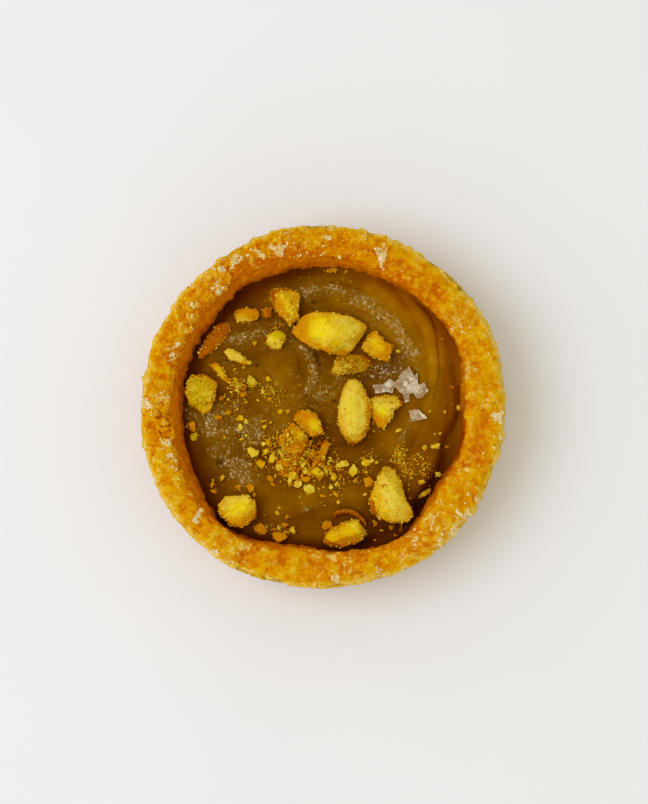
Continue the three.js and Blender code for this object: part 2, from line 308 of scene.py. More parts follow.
def section(th):
    out, lip = rim_outer(th), lip_edge(th)
    base = BASE_RADIUS + 0.5 * waves(th, RIM_WAVES)
    top = HEIGHT - 0.25 + waves(th, CREST_WAVES)
    one = np.ones_like(th)

    def side(z):
        return base + (out - base) * z / 17

    rows = [
        (base - 1.3, 0 * one),
        (base - 0.35, 0.35 * one),
        (side(1.3), 1.3 * one),
        (side(9), 9 * one),
        (out, 17 * one),
        (out - 0.12, top - 1.5),
        (out - 0.75, top - 0.5),
        (out - 1.9, top - 0.06),
        (out + (lip - out) * 0.55, top),
        (lip + 1.3, top - 0.22),
        (lip + 0.4, top - 0.8),
        (lip, LIP_LEVEL * one),
        (hollow(th, CREAM_LEVEL), CREAM_LEVEL * one),
        (hollow(th, 9.5), 9.5 * one),
        (hollow(th, FLOOR + 1.6), (FLOOR + 1.6) * one),
        (hollow(th, FLOOR + 0.4) - 0.7, (FLOOR + 0.25) * one),
        (hollow(th, FLOOR) - 2.0, FLOOR * one),
    ]
    return np.array(rows)  # (17, 2, n)


# x, y of the centre, from angle, to angle, from radius, to radius, width, height
STROKES = [
    (0, 0, 112, -42, 25.2, 15.2, 2.6, 0.75),
    (0, 0, 60, -4, 28.0, 19.6, 1.1, -0.55),
    (0, 0, 24, -62, 27.6, 26.8, 1.5, -1.3),
    (0, 0, 152, 112, 24.2, 17.6, 2.0, 0.45),
    (-5.5, 4.8, 130, -75, 5.8, 4.4, 1.7, 0.6),
    (-5.5, 4.8, 70, -60, 2.4, 2.8, 0.9, -0.4),
    (0, 0, 176, 228, 21.5, 20.5, 4.2, 0.5),
    (0, 0, 286, 250, 19.2, 22.0, 2.2, 0.35),
]


def stroke_height(x, y, s, power=2.0):
    cx, cy, a0, a1, r0, r1, w, h = s
    dx, dy = x - cx, y - cy
    down = -1 if a1 < a0 else 1
    along = np.degrees(np.arctan2(dy, dx)) - a0
    along = np.where(along * down < -40, along + 360 * down, along)
    along = np.where(along * down < -40, along + 360 * down, along)
    along = np.where(along * down > 320, along - 360 * down, along)
    t = along / (a1 - a0)
    fade = smooth((t + 0.12) / 0.24) * smooth((1.12 - t) / 0.24)
    off = (np.hypot(dx, dy) - (r0 + (r1 - r0) * t)) / w
    return h * fade * np.exp(-np.abs(off) ** power)


def cream_height(x, y):
    z = CREAM_LEVEL + 0.25 * (1 - np.hypot(x, y) / WALL_RADIUS)
    for s in STROKES:
        z = z + stroke_height(x, y, s)
    return z


# ------------------------------------------------------------------ materials
def crust_material():
    n = Nodes("baked_crust")
    painted_crevice_shade, tone, pale, wall_shade, outer, wall, white = (n.attr(k) for k in ("crevice_shade", "tone", "pale", "wall_shade", "outer", "wall", "white"))
    fine = n.noise(0.45, 4, 0.65)
    mid = n.noise(1.5, 3, 0.6)
    # golden, lighter on the high crumbs; painted shade turns it a deeper orange in the small crevices, cracks and pits
    grain = n.math("MULTIPLY_ADD", n.math("SUBTRACT", fine, 0.5), 0.75, n.math("MULTIPLY", n.math("SUBTRACT", mid, 0.5), 0.45))
    f = n.math("ADD", tone, n.math("MULTIPLY", grain, n.span(n.attr("soft"), 0.0, 1.0, 1.0, 0.62)))
    f = n.math("SUBTRACT", f, n.math("MULTIPLY", painted_crevice_shade, 0.42))
    col = n.ramp(f, [
        (0.00, (0.58, 0.160, 0.0006)),
        (0.25, (0.655, 0.240, 0.0010)),
        (0.50, (0.700, 0.322, 0.0018)),
        (0.75, (0.725, 0.405, 0.0100)),
        (1.00, (0.765, 0.492, 0.1020)),
    ])
    # waxy pale dough shows in irregular flecks; the pale attribute also carries painted light, so the outer edge and
    # shoulder come out paler
    fleck = n.math("ADD", n.math("MULTIPLY", n.span(n.noise(1.5, 5, 0.74), 0.50, 0.60), 0.85), n.math("MULTIPLY", n.span(n.noise(0.5, 4, 0.7), 0.55, 0.62), 0.45))
    col = n.mix(n.math("MULTIPLY", n.math("MULTIPLY", pale, 1.20), fleck, clamp=True), col, (0.80, 0.560, 0.19))
    rift = n.span(n.noise(0.9, 5, 0.75), 0.39, 0.31)
    col = n.mix(n.math("MULTIPLY", rift, 0.40), col, (0.60, 0.170, 0.0006))
    chalk = n.mix(n.span(fine, 0.40, 0.60), (0.80, 0.560, 0.22), (0.86, 0.730, 0.50))
    frayed = n.math("MULTIPLY_ADD", n.math("SUBTRACT", n.noise(1.0, 5, 0.75), 0.5), 2.6, white)
    col = n.mix(n.math("MULTIPLY", n.span(frayed, 0.42, 0.66), n.span(white, 0.02, 0.20), clamp=True), col, chalk)
    col = n.mix(wall, col, n.mix(mid, (0.60, 0.170, 0.0006), (0.68, 0.275, 0.0012)))
    seam = n.span(n.noise(1.6, 5, 0.72), 0.46, 0.36)
    col = n.mix(n.math("MULTIPLY", n.math("MULTIPLY", seam, 0.60), n.attr("stamped"), clamp=True), col, (0.45, 0.090, 0.0005))
    ring = n.mix(n.span(n.noise(5.5, 4, 0.6), 0.36, 0.64), (0.545, 0.275, 0.050), (0.655, 0.405, 0.120))
    ring = n.mix(n.math("MULTIPLY", n.span(n.noise(1.1, 4, 0.7), 0.52, 0.62), 0.50), ring, (0.76, 0.550, 0.230))
    ring = n.mix(n.math("MULTIPLY", n.span(n.noise(0.9, 4, 0.7), 0.44, 0.34), 0.60), ring, (0.50, 0.200, 0.020))
    ring = n.mix(n.math("MULTIPLY", n.attr("upper"), n.span(n.noise(1.7, 4, 0.7), 0.35, 0.60, 0.55, 0.95)), ring, (0.70, 0.370, 0.030))
    ring = n.mix(n.math("MULTIPLY", n.attr("foot"), n.span(n.noise(2.4, 4, 0.6), 0.30, 0.60, 0.45, 1.0)), ring, (0.36, 0.165, 0.040))
    col = n.mix(n.math("MULTIPLY", outer, 0.95, clamp=True), col, ring)
    # painted shade down the stamped wall towards the cream, and on the upper wall at the right
    painted_shade = n.mix(mid, (0.19, 0.028, 0.0004), (0.42, 0.085, 0.0006))
    col = n.mix(wall_shade, col, painted_shade)
    calm = n.span(wall, 0.0, 1.0, 1.0, 0.6)
    b = n.bump(n.math("MULTIPLY", n.noise(0.55, 5, 0.75), calm), 0.17, 1.0)
    rough = n.span(fine, 0.3, 0.7, 0.60, 0.85)
    return n.finish(col, rough, b, spec=0.06, sss=0.18, sss_radius=(1.0, 0.40, 0.08), sss_scale_mm=0.55)


def cream_material():
    n = Nodes("pistachio_cream")
    sheen, olive, painted_shade, speck, frost = n.attr("sheen"), n.attr("olive"), n.attr("painted_shade"), n.attr("speck"), n.attr("frost")
    mid = n.noise(4.0, 3, 0.5)
    fine = n.noise(0.42, 3, 0.65)
    f = n.math("ADD", mid, n.math("MULTIPLY", n.math("SUBTRACT", fine, 0.5), 0.35))
    col = n.ramp(f, [
        (0.30, (0.160, 0.057, 0.0009)),
        (0.50, (0.204, 0.078, 0.0012)),
        (0.70, (0.252, 0.106, 0.0018)),
    ])
    # a lighter olive, partly the cream's own colour and partly painted light on raised ridges and on the right-hand
    # side
    col = n.mix(n.math("MULTIPLY", olive, 0.9, clamp=True), col, (0.35, 0.168, 0.0030))
    # painted shade and warm light thrown back from the orange crust, near the walls
    col = n.mix(n.attr("crust_bounce"), col, (0.265, 0.078, 0.0006))
    # painted shade next to the walls, in grooves and around some nuts
    col = n.mix(painted_shade, col, (0.078, 0.0145, 0.0003))
    # painted highlight: short glinting streaks that follow the spoon
    lie = n.add("ShaderNodeCombineXYZ")
    n.link(n.math("MULTIPLY", n.attr("along"), 0.95), lie.inputs[0])
    n.link(n.math("MULTIPLY", n.attr("across"), 3.8), lie.inputs[1])
    drag = n.add("ShaderNodeTexNoise")
    drag.inputs["Scale"].default_value = 1.0
    drag.inputs["Detail"].default_value = 4.0
    drag.inputs["Roughness"].default_value = 0.8
    n.link(lie.outputs[0], drag.inputs["Vector"])
    dash = n.span(n.noise(0.62, 3, 0.75), 0.555, 0.605)
    pull = n.math("MULTIPLY", n.span(drag.outputs["Fac"], 0.545, 0.590), n.span(sheen, 0.30, 0.60))
    spark = n.math("MAXIMUM", n.math("MULTIPLY", dash, 0.85), pull)
    spark = n.math("MULTIPLY", spark, n.span(n.noise(0.85, 2, 0.6), 0.42, 0.52, 0.15, 1.0))
    glint = n.math("MULTIPLY", n.span(sheen, 0.0, 0.75), n.math("MULTIPLY_ADD", spark, 0.92, 0.03), clamp=True)
    # painted sheen: the glinting skin is greyer
    col = n.mix(n.math("MULTIPLY", sheen, n.span(n.noise(1.7, 3, 0.6), 0.35, 0.62, 0.25, 0.80), clamp=True), col, (0.225, 0.125, 0.030))
    # painted light: golden where the ridges at the back right catch the lamp, and at the lit foot by the right wall
    col = n.mix(n.attr("painted_light_gold"), col, (0.46, 0.215, 0.0040))
    col = n.mix(glint, col, (0.68, 0.525, 0.34))
    col = n.mix(n.math("MULTIPLY", frost, 0.65), col, (0.120, 0.044, 0.020))
    col = n.mix(n.math("MULTIPLY", frost, n.math("MULTIPLY_ADD", spark, 0.80, 0.03), clamp=True), col, (0.56, 0.38, 0.27))
    col = n.mix(n.math("MULTIPLY", speck, 1.0, clamp=True), col, (0.05, 0.015, 0.003))
    b = n.bump(n.noise(0.5, 4, 0.7), 0.10, 0.7)
    b = n.bump(n.noise(1.6, 3, 0.6), 0.16, 0.6, b)
    rough = n.span(glint, 0.0, 0.8, 0.52, 0.30)
    return n.finish(col, rough, b, spec=0.055, sss=0.06, sss_radius=(1.0, 0.5, 0.12), sss_scale_mm=1.0)


PALE = (0.78, 0.610, 0.120)
DEEP = (0.61, 0.245, 0.0008)
SKIN = (0.28, 0.066, 0.0006)
GREEN = (0.53, 0.415, 0.010)


def nut_material(name, flesh, lift=0.55):
    n = Nodes(name)
    skin, pale, deep, green, speckle, tint = (n.attr(k) for k in ("skin", "pale", "deep", "green", "speckle", "tint"))
    painted_sheen = n.attr("painted_sheen")
    fine = n.noise(0.36, 4, 0.70)
    mid = n.noise(1.6, 2, 0.5)
    f = n.math("ADD", n.math("MULTIPLY", fine, 0.42), n.math("MULTIPLY", mid, 0.58))
    f = n.math("ADD", f, n.math("MULTIPLY", tint, 0.26))
    low = tuple(c * k for c, k in zip(flesh, (0.88, 0.74, 0.50)))
    high = tuple((1 - lift) * c + lift * d for c, d in zip(flesh, PALE))
    col = n.ramp(f, [(0.28, low), (0.47, flesh), (0.70, high)])
    for amount, colour in ((green, GREEN), (pale, PALE), (deep, DEEP)):
        col = n.mix(n.math("MULTIPLY", amount, n.math("MULTIPLY_ADD", n.math("SUBTRACT", fine, 0.5), 0.8, 0.88), clamp=True), col, colour)
    # painted sheen: a clearer, brighter yellow on the cut face stands in for its glossy highlight
    col = n.mix(n.math("MULTIPLY", painted_sheen, n.math("MULTIPLY_ADD", n.math("SUBTRACT", fine, 0.5), 0.5, 0.95), clamp=True), col, (0.88, 0.715, 0.030))
    # pale fibres with brownish furrows between them
    lie = n.add("ShaderNodeCombineXYZ")
    n.link(n.math("MULTIPLY", n.attr("fu"), 0.85), lie.inputs[0])
    n.link(n.math("MULTIPLY", n.attr("fv"), 3.0), lie.inputs[1])
    strand = n.add("ShaderNodeTexNoise")
    strand.inputs["Scale"].default_value = 1.0
    strand.inputs["Detail"].default_value = 4.0
    strand.inputs["Roughness"].default_value = 0.75
    n.link(lie.outputs[0], strand.inputs["Vector"])
    fibre = n.attr("fibre")
    col = n.mix(n.math("MULTIPLY", fibre, n.span(strand.outputs["Fac"], 0.45, 0.37), clamp=True), col, (0.50, 0.225, 0.0015))
    col = n.mix(n.math("MULTIPLY", fibre, n.span(strand.outputs["Fac"], 0.54, 0.62), clamp=True), col, (0.86, 0.69, 0.15))
    # the papery skin and the toasted edges break up into grains
    torn = n.math("MULTIPLY_ADD", n.math("SUBTRACT", n.noise(0.55, 4, 0.75), 0.5), 3.2, n.math("MULTIPLY_ADD", skin, 1.7, -0.45), clamp=True)
    torn = n.math("MULTIPLY", torn, n.span(skin, 0.12, 0.42))
    col = n.mix(torn, col, n.mix(mid, SKIN, (0.56, 0.185, 0.001)))
    dots = n.span(n.noise(0.95, 3, 0.7), 0.575, 0.625)
    col = n.mix(n.math("MULTIPLY", dots, n.span(speckle, 0.30, 0.80, 0.0, 0.85), clamp=True), col, (0.46, 0.135, 0.001))
    light = n.span(n.noise(0.38, 3, 0.8), 0.58, 0.66)
    col = n.mix(n.math("MULTIPLY", n.math("MULTIPLY", light, n.span(painted_sheen, 0.0, 1.0, 0.60, 0.25)), n.span(deep, 0.0, 1.0, 1.0, 0.30)), col, (0.90, 0.74, 0.20))
    # uneven all over
    shade = n.ramp(n.noise(1.15, 5, 0.72), [(0.36, (0.90, 0.70, 0.30)), (0.50, (1.0, 0.98, 0.94)), (0.62, (1.0, 1.0, 1.0))])
    col = n.mix(n.span(painted_sheen, 0.0, 1.0, 0.85, 0.45), col, shade, "MULTIPLY")
    b = n.bump(n.noise(0.9, 4, 0.7), 0.16, 0.8)
    b = n.bump(n.noise(0.30, 3, 0.7), 0.07, 0.8, b)
    rough = n.span(fine, 0.35, 0.65, 0.26, 0.55)
    return n.finish(col, rough, b, spec=0.07, sss=0.07, sss_radius=(1.0, 0.6, 0.05), sss_scale_mm=0.6)


def salt_material():
    n = Nodes("salt_crystal")
    fine = n.noise(0.7, 4, 0.65)
    facet = n.add("ShaderNodeTexVoronoi", feature="F1", distance="CHEBYCHEV")
    facet.inputs["Scale"].default_value = 1000.0 / 1.1
    n.link(n.coord, facet.inputs["Vector"])
    step = n.add("ShaderNodeSeparateColor")
    n.link(facet.outputs["Color"], step.inputs[0])
    f = n.math("MULTIPLY_ADD", step.outputs[0], 0.42, n.math("MULTIPLY", fine, 0.62))
    col = n.ramp(f, [(0.30, (0.42, 0.275, 0.165)), (0.52, (0.60, 0.440, 0.290)), (0.76, (0.92, 0.77, 0.60))])
    b = n.bump(n.noise(0.5, 3, 0.6), 0.10, 0.6)
    rough = n.span(fine, 0.3, 0.7, 0.20, 0.5)
    m = n.finish(col, rough, b, spec=0.4, sss=0.45, sss_radius=(1.0, 0.8, 0.6), sss_scale_mm=0.8)
    n.bsdf.inputs["Transmission Weight"].default_value = 0.15
    return m


M_CRUST = crust_material()
M_CREAM = cream_material()
M_NUT = {
    "yellow": nut_material("nut_flesh_yellow", (0.73, 0.450, 0.003)),
    "green": nut_material("nut_flesh_green", (0.55, 0.355, 0.003)),
    "toasted": nut_material("nut_flesh_toasted", (0.60, 0.290, 0.0012)),
    "olive": nut_material("nut_flesh_olive", (0.36, 0.175, 0.0025)),
    "skin": nut_material("nut_skin_brown", (0.22, 0.043, 0.0005), 0.22),
}
M_SALT = salt_material()
SLOT = {"yellow": "nut_yellow", "green": "nut_green", "toasted": "nut_toasted", "olive": "nut_olive", "skin": "nut_skin"}

# ------------------------------------------------------------------ the crust
AROUND = 900
STEPS = [3, 4, 15, 16, 6, 5, 5, 11, 8, 5, 5, 12, 2, 1, 1, 1]


LUMPS = [
    (105.3, 32.4, 1.15, 1.0), (112.3, 32.4, 0.80, 0.95), (120.6, 34.0, 1.00, 0.85), (126.3, 33.6, 0.95, 0.9), (130.5, 30.5, 1.25, 0.9),
    (142.7, 32.5, 0.35, 0.9), (145.2, 31.4, 0.42, 1.0), (161.0, 31.4, 0.60, 1.0), (157.3, 31.1, 0.60, 0.6), (176.0, 31.6, 1.20, 0.45),
    (179.0, 34.9, 0.85, 0.95), (96.0, 30.5, 0.30, 0.9), (90.4, 30.3, 0.35, 0.95), (89.3, 33.5, 0.55, 0.8), (83.8, 29.9, 0.35, 0.9),
    (69.0, 32.2, 1.05, 1.0), (193.0, 31.3, 0.95, 0.9), (198.0, 31.9, 0.75, 0.7), (203.0, 31.4, 0.9, 0.5), (208.0, 32.6, 0.8, 0.4), (220.7, 32.1, 0.70, 0.75),
    (233.5, 35.8, 0.55, 0.8), (356.4, 34.5, 1.00, 0.9), (350.0, 35.4, 0.7, 0.55), (343.7, 32.8, 0.30, 0.8), (328.7, 33.3, 0.55, 0.55),
    (320.4, 30.3, 0.50, 0.5), (313.2, 32.0, 1.10, 0.42), (305.0, 32.1, 1.20, 0.40), (299.0, 32.8, 1.00, 0.40), (281.6, 33.8, 1.10, 0.45), (288.5, 35.3, 0.90, 0.6),
    (274.6, 35.0, 1.20, 0.5), (316.0, 35.7, 1.2, 0.7), (322.7, 35.9, 1.1, 0.75), (328.5, 35.7, 0.9, 0.6), (310.0, 35.7, 0.9, 0.5), (14.0, 29.8, 1.1, 0.45), (30.0, 30.6, 1.2, 0.4),
]


def crust_mesh():
    th = 2 * np.pi * np.arange(AROUND) / AROUND
    S = section(th)
    k = len(S)
    ts = []
    for i, c in enumerate(STEPS):
        ts += [i + u / c for u in range(c)]
    ts.append(k - 1)
    rows = []
    for t in ts:
        i = min(int(t), k - 2)
        u = t - i
        p0, p1, p2, p3 = S[max(i - 1, 0)], S[i], S[i + 1], S[min(i + 2, k - 1)]
        if i in (0, 12, 13, 14, 15):  # straight stretches
            rows.append(p1 + (p2 - p1) * u)
        else:
            rows.append(0.5 * (2 * p1 + (p2 - p0) * u + (2 * p0 - 5 * p1 + 4 * p2 - p3) * u * u + (3 * p1 - p0 - 3 * p2 + p3) * u**3))
    R = np.array([r[0] for r in rows])
    Z = np.array([r[1] for r in rows])
    T = np.array(ts)[:, None] * np.ones_like(R)
    TH = np.ones_like(R) * th
    P = np.stack([R * np.cos(TH), R * np.sin(TH), Z], -1)
    du = np.roll(P, -1, 1) - np.roll(P, 1, 1)
    dv = np.empty_like(P)
    dv[1:-1] = P[2:] - P[:-2]
    dv[0], dv[-1] = P[1] - P[0], P[-1] - P[-2]
    N = np.cross(du, dv)
    N /= np.maximum(np.linalg.norm(N, axis=-1)[..., None], 1e-9)

    top = smooth((T - 4.0) / 1.2) * (1 - smooth((T - 11.0) / 1.0))  # the open, crumbly rim
    outer = smooth((T - 1.4) / 0.8) * (1 - smooth((T - 4.0) / 1.2))  # pressed against the ring
    inner = smooth((T - 11.0) / 1.0) * (1 - smooth((T - 12.6) / 0.4))  # pressed by the stamp
    hidden = smooth((T - 12.1) / 0.5)
    under = 1 - smooth((T - 1.0) / 0.8)

    lump = fbm(P, 4.2, 2, 3)
    mid = fbm(P, 2.0, 3, 11)
    warp = P + 0.40 * np.stack([vnoise(P, 1.0, 301 + k) for k in range(3)], -1)
    f1, f2, own = cells(warp, 1.9, 5)
    g1, g2, own2 = cells(warp, 1.0, 23)
    clump = smooth((f2 - f1) / 0.5)  # 0 in the crevices between clumps of dough, 1 on them
    gran = smooth((g2 - g1) / 0.55)
    crumbly = fbm(P, 0.85, 3, 31, 0.72)
    shelf = smooth(0.5 + 1.5 * fbm(warp, 1.9, 2, 57))  # plateaus with broken edges
    shelf2 = smooth(0.5 + 1.5 * fbm(warp, 0.95, 2, 59))
    ragged = fbm(warp, 1.0, 3, 71, 0.65)
    big = smooth((vnoise(P, 3.2, 47) - 0.1) / 0.5)
    # pale lumps of flour and fat: angle, radius, half width, how pale
    white = np.zeros_like(R)
    frayed = 1 + 0.95 * fbm(P, 1.2, 3, 83, 0.75)
    for k_, (a, r, half, amount) in enumerate(LUMPS):
        dx, dy, lean = P[..., 0] - r * math.cos(rad(a)), P[..., 1] - r * math.sin(rad(a)), 2.4 * k_
        stretch = 1.25 + 0.25 * math.sin(1.7 * k_)
        away = np.hypot((dx * math.cos(lean) + dy * math.sin(lean)) / stretch, (dy * math.cos(lean) - dx * math.sin(lean)) * stretch) / half * frayed
        white = np.maximum(white, amount * smooth((1.45 - away) / 0.85))
    white *= top * (T < 11.2)
    edge = np.exp(-(((T - 5.2) / 1.5) ** 2))
    nick = smooth((vnoise(P, 2.3, 53) - 0.15) / 0.35)
    A = np.degrees(TH)
    # pressed smoother at the front right, roughest at the back left
    rough_side = 0.72 + 0.28 * np.cos(TH - rad(120))
    d = top * (0.20 * lump + 0.15 * mid + (0.10 * (clump - 0.6) * (0.35 + 0.65 * own) + 0.07 * (gran - 0.6) + 0.15 * (shelf - 0.5) + 0.10 * (shelf2 - 0.5) + 0.17 * crumbly) * rough_side + 0.10 * big)
    d += edge * (0.20 * mid + 0.20 * (shelf - 0.5) + 0.16 * crumbly - 0.34 * nick)
    pits = smooth((vnoise(P, 1.3, 151) - 0.42) / 0.25) + 0.7 * smooth((vnoise(P, 2.4, 157) - 0.50) / 0.20)
    d += outer * (0.09 * lump + 0.08 * mid + 0.11 * (clump - 0.6) + 0.08 * (gran - 0.6) + 0.07 * crumbly - 0.20 * pits)
    d += inner * (0.20 * lump + 0.22 * mid + 0.20 * (shelf - 0.5) + 0.12 * (shelf2 - 0.5) + 0.13 * crumbly)
    d += under * -0.05 * np.clip(mid, 0, 1)
    # torn cracks near the lip on the left, and chips out of the outer edge at the front
    cracks = np.zeros_like(R)
    for a, r0, r1, deep in ((182.0, 29.4, 33.0, 0.5), (184.2, 29.8, 33.6, 0.5), (186.4, 29.6, 32.6, 0.55), (188.8, 30.0, 33.2, 0.45), (191.5, 30.4, 32.6, 0.35), (179.4, 31.0, 33.0, 0.35), (242.0, 33.0, 35.4, 0.4), (125.0, 31.0, 33.8, 0.4), (117.5, 31.8, 34.0, 0.4), (134.0, 31.0, 33.0, 0.3), (98.0, 31.4, 33.0, 0.3)):
        wob = a + 1.3 * vnoise(P, 1.5, int(a))
        off = (A - wob) * np.pi / 180 * R / 0.26
        cracks = np.maximum(cracks, top * np.exp(-off * off) * smooth((R - r0) / 0.6) * smooth((r1 - R) / 0.6))
        d -= 1.5 * top * deep * np.exp(-off * off) * smooth((R - r0) / 0.6) * smooth((r1 - R) / 0.6)
    for a, half, deep in ((281, 8, 0.55), (335, 5, 0.5), (318, 5, 0.45), (247, 3, 0.3), (20, 3, 0.25), (87, 2.2, 0.5), (45, 3, 0.3), (150, 2.5, 0.25)):
        w = np.exp(-(((A - a + 180) % 360 - 180) / half) ** 4)
        d -= np.exp(-(((T - 5.8) / 1.0) ** 2)) * w * deep * (0.6 + 0.6 * mid)
    d += 0.34 * white * (0.6 + 1.2 * (gran - 0.5) + 0.9 * crumbly)
    d *= 1 - hidden
    P2 = P + N * d[..., None]
    P2[..., 2] = np.maximum(P2[..., 2], 0.0)
    P2[0, :, 2] = 0.0

    # the open rim breaks off raggedly above the stamped wall, most of all on the left
    lip_side = 0.35 + 0.65 * smooth((np.cos(TH - rad(205)) + 0.35) / 0.8)
    P2 += N * (lip_side * np.exp(-(((T - 10.0) / 0.8) ** 2)) * 0.34 * ragged * (1 - hidden))[..., None]

    # painted shade: darker in the crevices between clumps, in the cracks and in the pits of the outer wall
    crevice_shade = top * (0.5 * (1 - clump) * (0.3 + 0.5 * rough_side) + 0.25 * (1 - gran) + 0.55 * (1 - shelf) + 0.35 * (1 - shelf2) - 0.45 * crumbly - 0.55) + 1.0 * cracks + 0.6 * (inner + outer) * (1 - gran) * (1 - clump) + 0.5 * outer * pits - 0.30 * mid
    # bake: paler on the outer shoulder, deeper towards the lip, brown on the stamped wall; the paler shoulder is partly
    # painted light
    reach = np.clip((R - lip_edge(TH)) / (rim_outer(TH) - lip_edge(TH)), -0.2, 1.05)
    tone = 0.52 + 0.08 * (reach - 0.5) + 0.36 * smooth((reach - 0.76) / 0.30) - 0.10 * smooth((0.30 - reach) / 0.3) + 0.09 * fbm(P, 5.0, 2, 61) + 0.10 * fbm(P, 1.8, 3, 67) + 0.10 * crumbly + 0.04 * big
    # painted light: the rim at the right and back right is paler, as where the lamp lights it most
    tone += 0.05 * np.clip(np.cos(TH - rad(35)), 0, 1) + 0.20 * np.clip(np.cos(TH - rad(25)), 0, 1) ** 3 * smooth((reach - 0.25) / 0.6)
    back_left = np.exp(-(((A - 113) / 22) ** 2))
    # painted shade: darker on the inner part of the rim at the back left and in a few spots elsewhere, and a little
    # darker across the front right
    tone -= 0.22 * np.exp(-(((A - 62) / 20) ** 2)) * smooth((33.8 - R) / 1.5) + 0.10 * np.exp(-(((A - 208) / 16) ** 2)) * smooth((31.5 - R) / 1.5) + 0.10 * np.exp(-(((A - 250) / 16) ** 2)) * smooth((32.0 - R) / 1.5)
    tone -= 0.52 * back_left * smooth((34.4 - R) / 3.5) + 0.10 * np.exp(-(((A - 335) / 22) ** 2)) + 0.12 * np.exp(-(((A - 160) / 16) ** 2)) * smooth((32.5 - R) / 2.0)
    soft = smooth(0.5 + 0.9 * np.cos(TH - rad(345)))
    where = 0.30 + 0.70 * smooth((vnoise(P, 4.5, 73) + 0.25) / 0.5)
    side = 0.62 + 0.40 * np.clip(np.cos(TH - rad(318)), 0, 1) + 0.15 * np.clip(np.cos(TH - rad(195)), 0, 1) + 0.35 * smooth((reach - 0.72) / 0.25)
    # painted light: the rounded outer shoulder is paler, as where it catches the light
    shoulder_light = np.exp(-(((T - 4.95) / 0.80) ** 2))
    tone += 0.30 * shoulder_light
    # pale dough in flecks, more at the front right and a little at the left; painted light also makes the outer edge
    # and the shoulder paler
    pale = top * where * side * (0.35 + 0.65 * shelf2) + (0.50 * top * smooth((reach - 0.84) / 0.16) + 0.75 * shoulder_light) * (1 - 0.35 * np.exp(-(((A - 88) / 30) ** 2)))
    pale = np.clip(pale, 0, 1.0)
    # painted shade: the stamped wall darkens towards the cream, more at some angles; the upper wall at the right is
    # darkened as well
    wall_shade = (T > 8) * smooth((18.4 - P[..., 2]) / 3.2) * (0.76 + 0.25 * fbm(P, 3.0, 2, 79))
    back_right = smooth((np.cos(TH - rad(50)) - 0.35) / 0.5)
    right_wall = np.exp(-(((((A - 345) + 180) % 360 - 180) / 22) ** 2))
    wall_shade = wall_shade * (0.70 + 0.08 * np.cos(TH - rad(190))) * (1 - 0.45 * back_right) * (1 - 0.35 * np.exp(-(((A - 112) / 16) ** 2))) * (1 - 0.35 * np.exp(-(((A - 250) / 10) ** 2)))
    wall_shade = np.clip(np.maximum(wall_shade, 0.92 * right_wall * (T > 9.2) * smooth((19.35 - P[..., 2]) / 1.0)), 0, 0.95)
    wall = smooth((T - 10.45 + 0.45 * ragged) / 0.40) * (0.30 + 0.70 * smooth(0.5 + 0.9 * np.cos(TH - rad(170))))
    flat = P2.reshape(-1, 3)
    outer_look = np.clip(smooth((4.15 + 0.25 * ragged - T) / 0.7), 0, 1)
    attrs = {"crevice_shade": crevice_shade, "tone": tone, "pale": pale, "wall_shade": wall_shade, "outer": outer_look, "foot": outer_look * smooth((7.0 - P[..., 2]) / 6.5), "upper": outer_look * smooth((P[..., 2] - 13.5) / 4.0), "wall": wall, "white": white, "soft": soft, "stamped": smooth((T - 9.4 + 0.6 * ragged) / 0.9)}
    faces = grid_faces(len(ts), AROUND)
    # close the underside and the floor with a fan of triangles each
    verts = np.vstack([flat, [[0, 0, 0], [0, 0, FLOOR]]])
    last = (len(ts) - 1) * AROUND
    j = np.arange(AROUND)
    kk = (j + 1) % AROUND
    c0, c1 = len(flat), len(flat) + 1
    tri = np.concatenate([np.stack([np.full(AROUND, c0), kk, j], -1), np.stack([np.full(AROUND, c1), last + j, last + kk], -1)])
    quads = faces
    tris = np.concatenate([quads[:, [0, 1, 2]], quads[:, [0, 2, 3]], tri])
    pad = {k_: np.concatenate([v.ravel(), [0, 0]]) for k_, v in attrs.items()}
    return verts, tris, pad, P2, N, T


cv, cf, ca, CRUST_P, CRUST_N, CRUST_T = crust_mesh()
# faces look outwards
vol = np.einsum("ij,ij->i", cv[cf[:, 0]], np.cross(cv[cf[:, 1]], cv[cf[:, 2]])).sum()
if vol < 0:
    cf = cf[:, ::-1]
crust = make_object("crust_baked", cv, cf, M_CRUST, ca)
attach(crust, "root")
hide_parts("crust")


# ------------------------------------------------------------------ the cream
def line_field(x, y, pts):
    """Distance to a spoon line, the side it is on (+1 to the left of the line's direction) and the place along it (0..1)."""
    lens = [math.dist(p, q) for p, q in zip(pts, pts[1:])]
    best, side, along, run = np.full(x.shape, 1e9), np.zeros(x.shape), np.zeros(x.shape), 0.0
    for (ax, ay), (bx, by), ln in zip(pts, pts[1:], lens):
        ux, uy = (bx - ax) / ln, (by - ay) / ln
        t = np.clip((x - ax) * ux + (y - ay) * uy, 0, ln)
        d = np.hypot(x - ax - t * ux, y - ay - t * uy)
        near = d < best
        best = np.where(near, d, best)
        side = np.where(near, np.sign(ux * (y - ay) - uy * (x - ax)), side)
        along = np.where(near, (run + t) / sum(lens), along)
        run += ln
    return best, side, along


def rounded(pts, times=2):
    for _ in range(times):
        out = [pts[0]]
        for p, q in zip(pts, pts[1:]):
            out += [tuple(0.75 * a + 0.25 * b for a, b in zip(p, q)), tuple(0.25 * a + 0.75 * b for a, b in zip(p, q))]
        pts = out + [pts[-1]]
    return pts


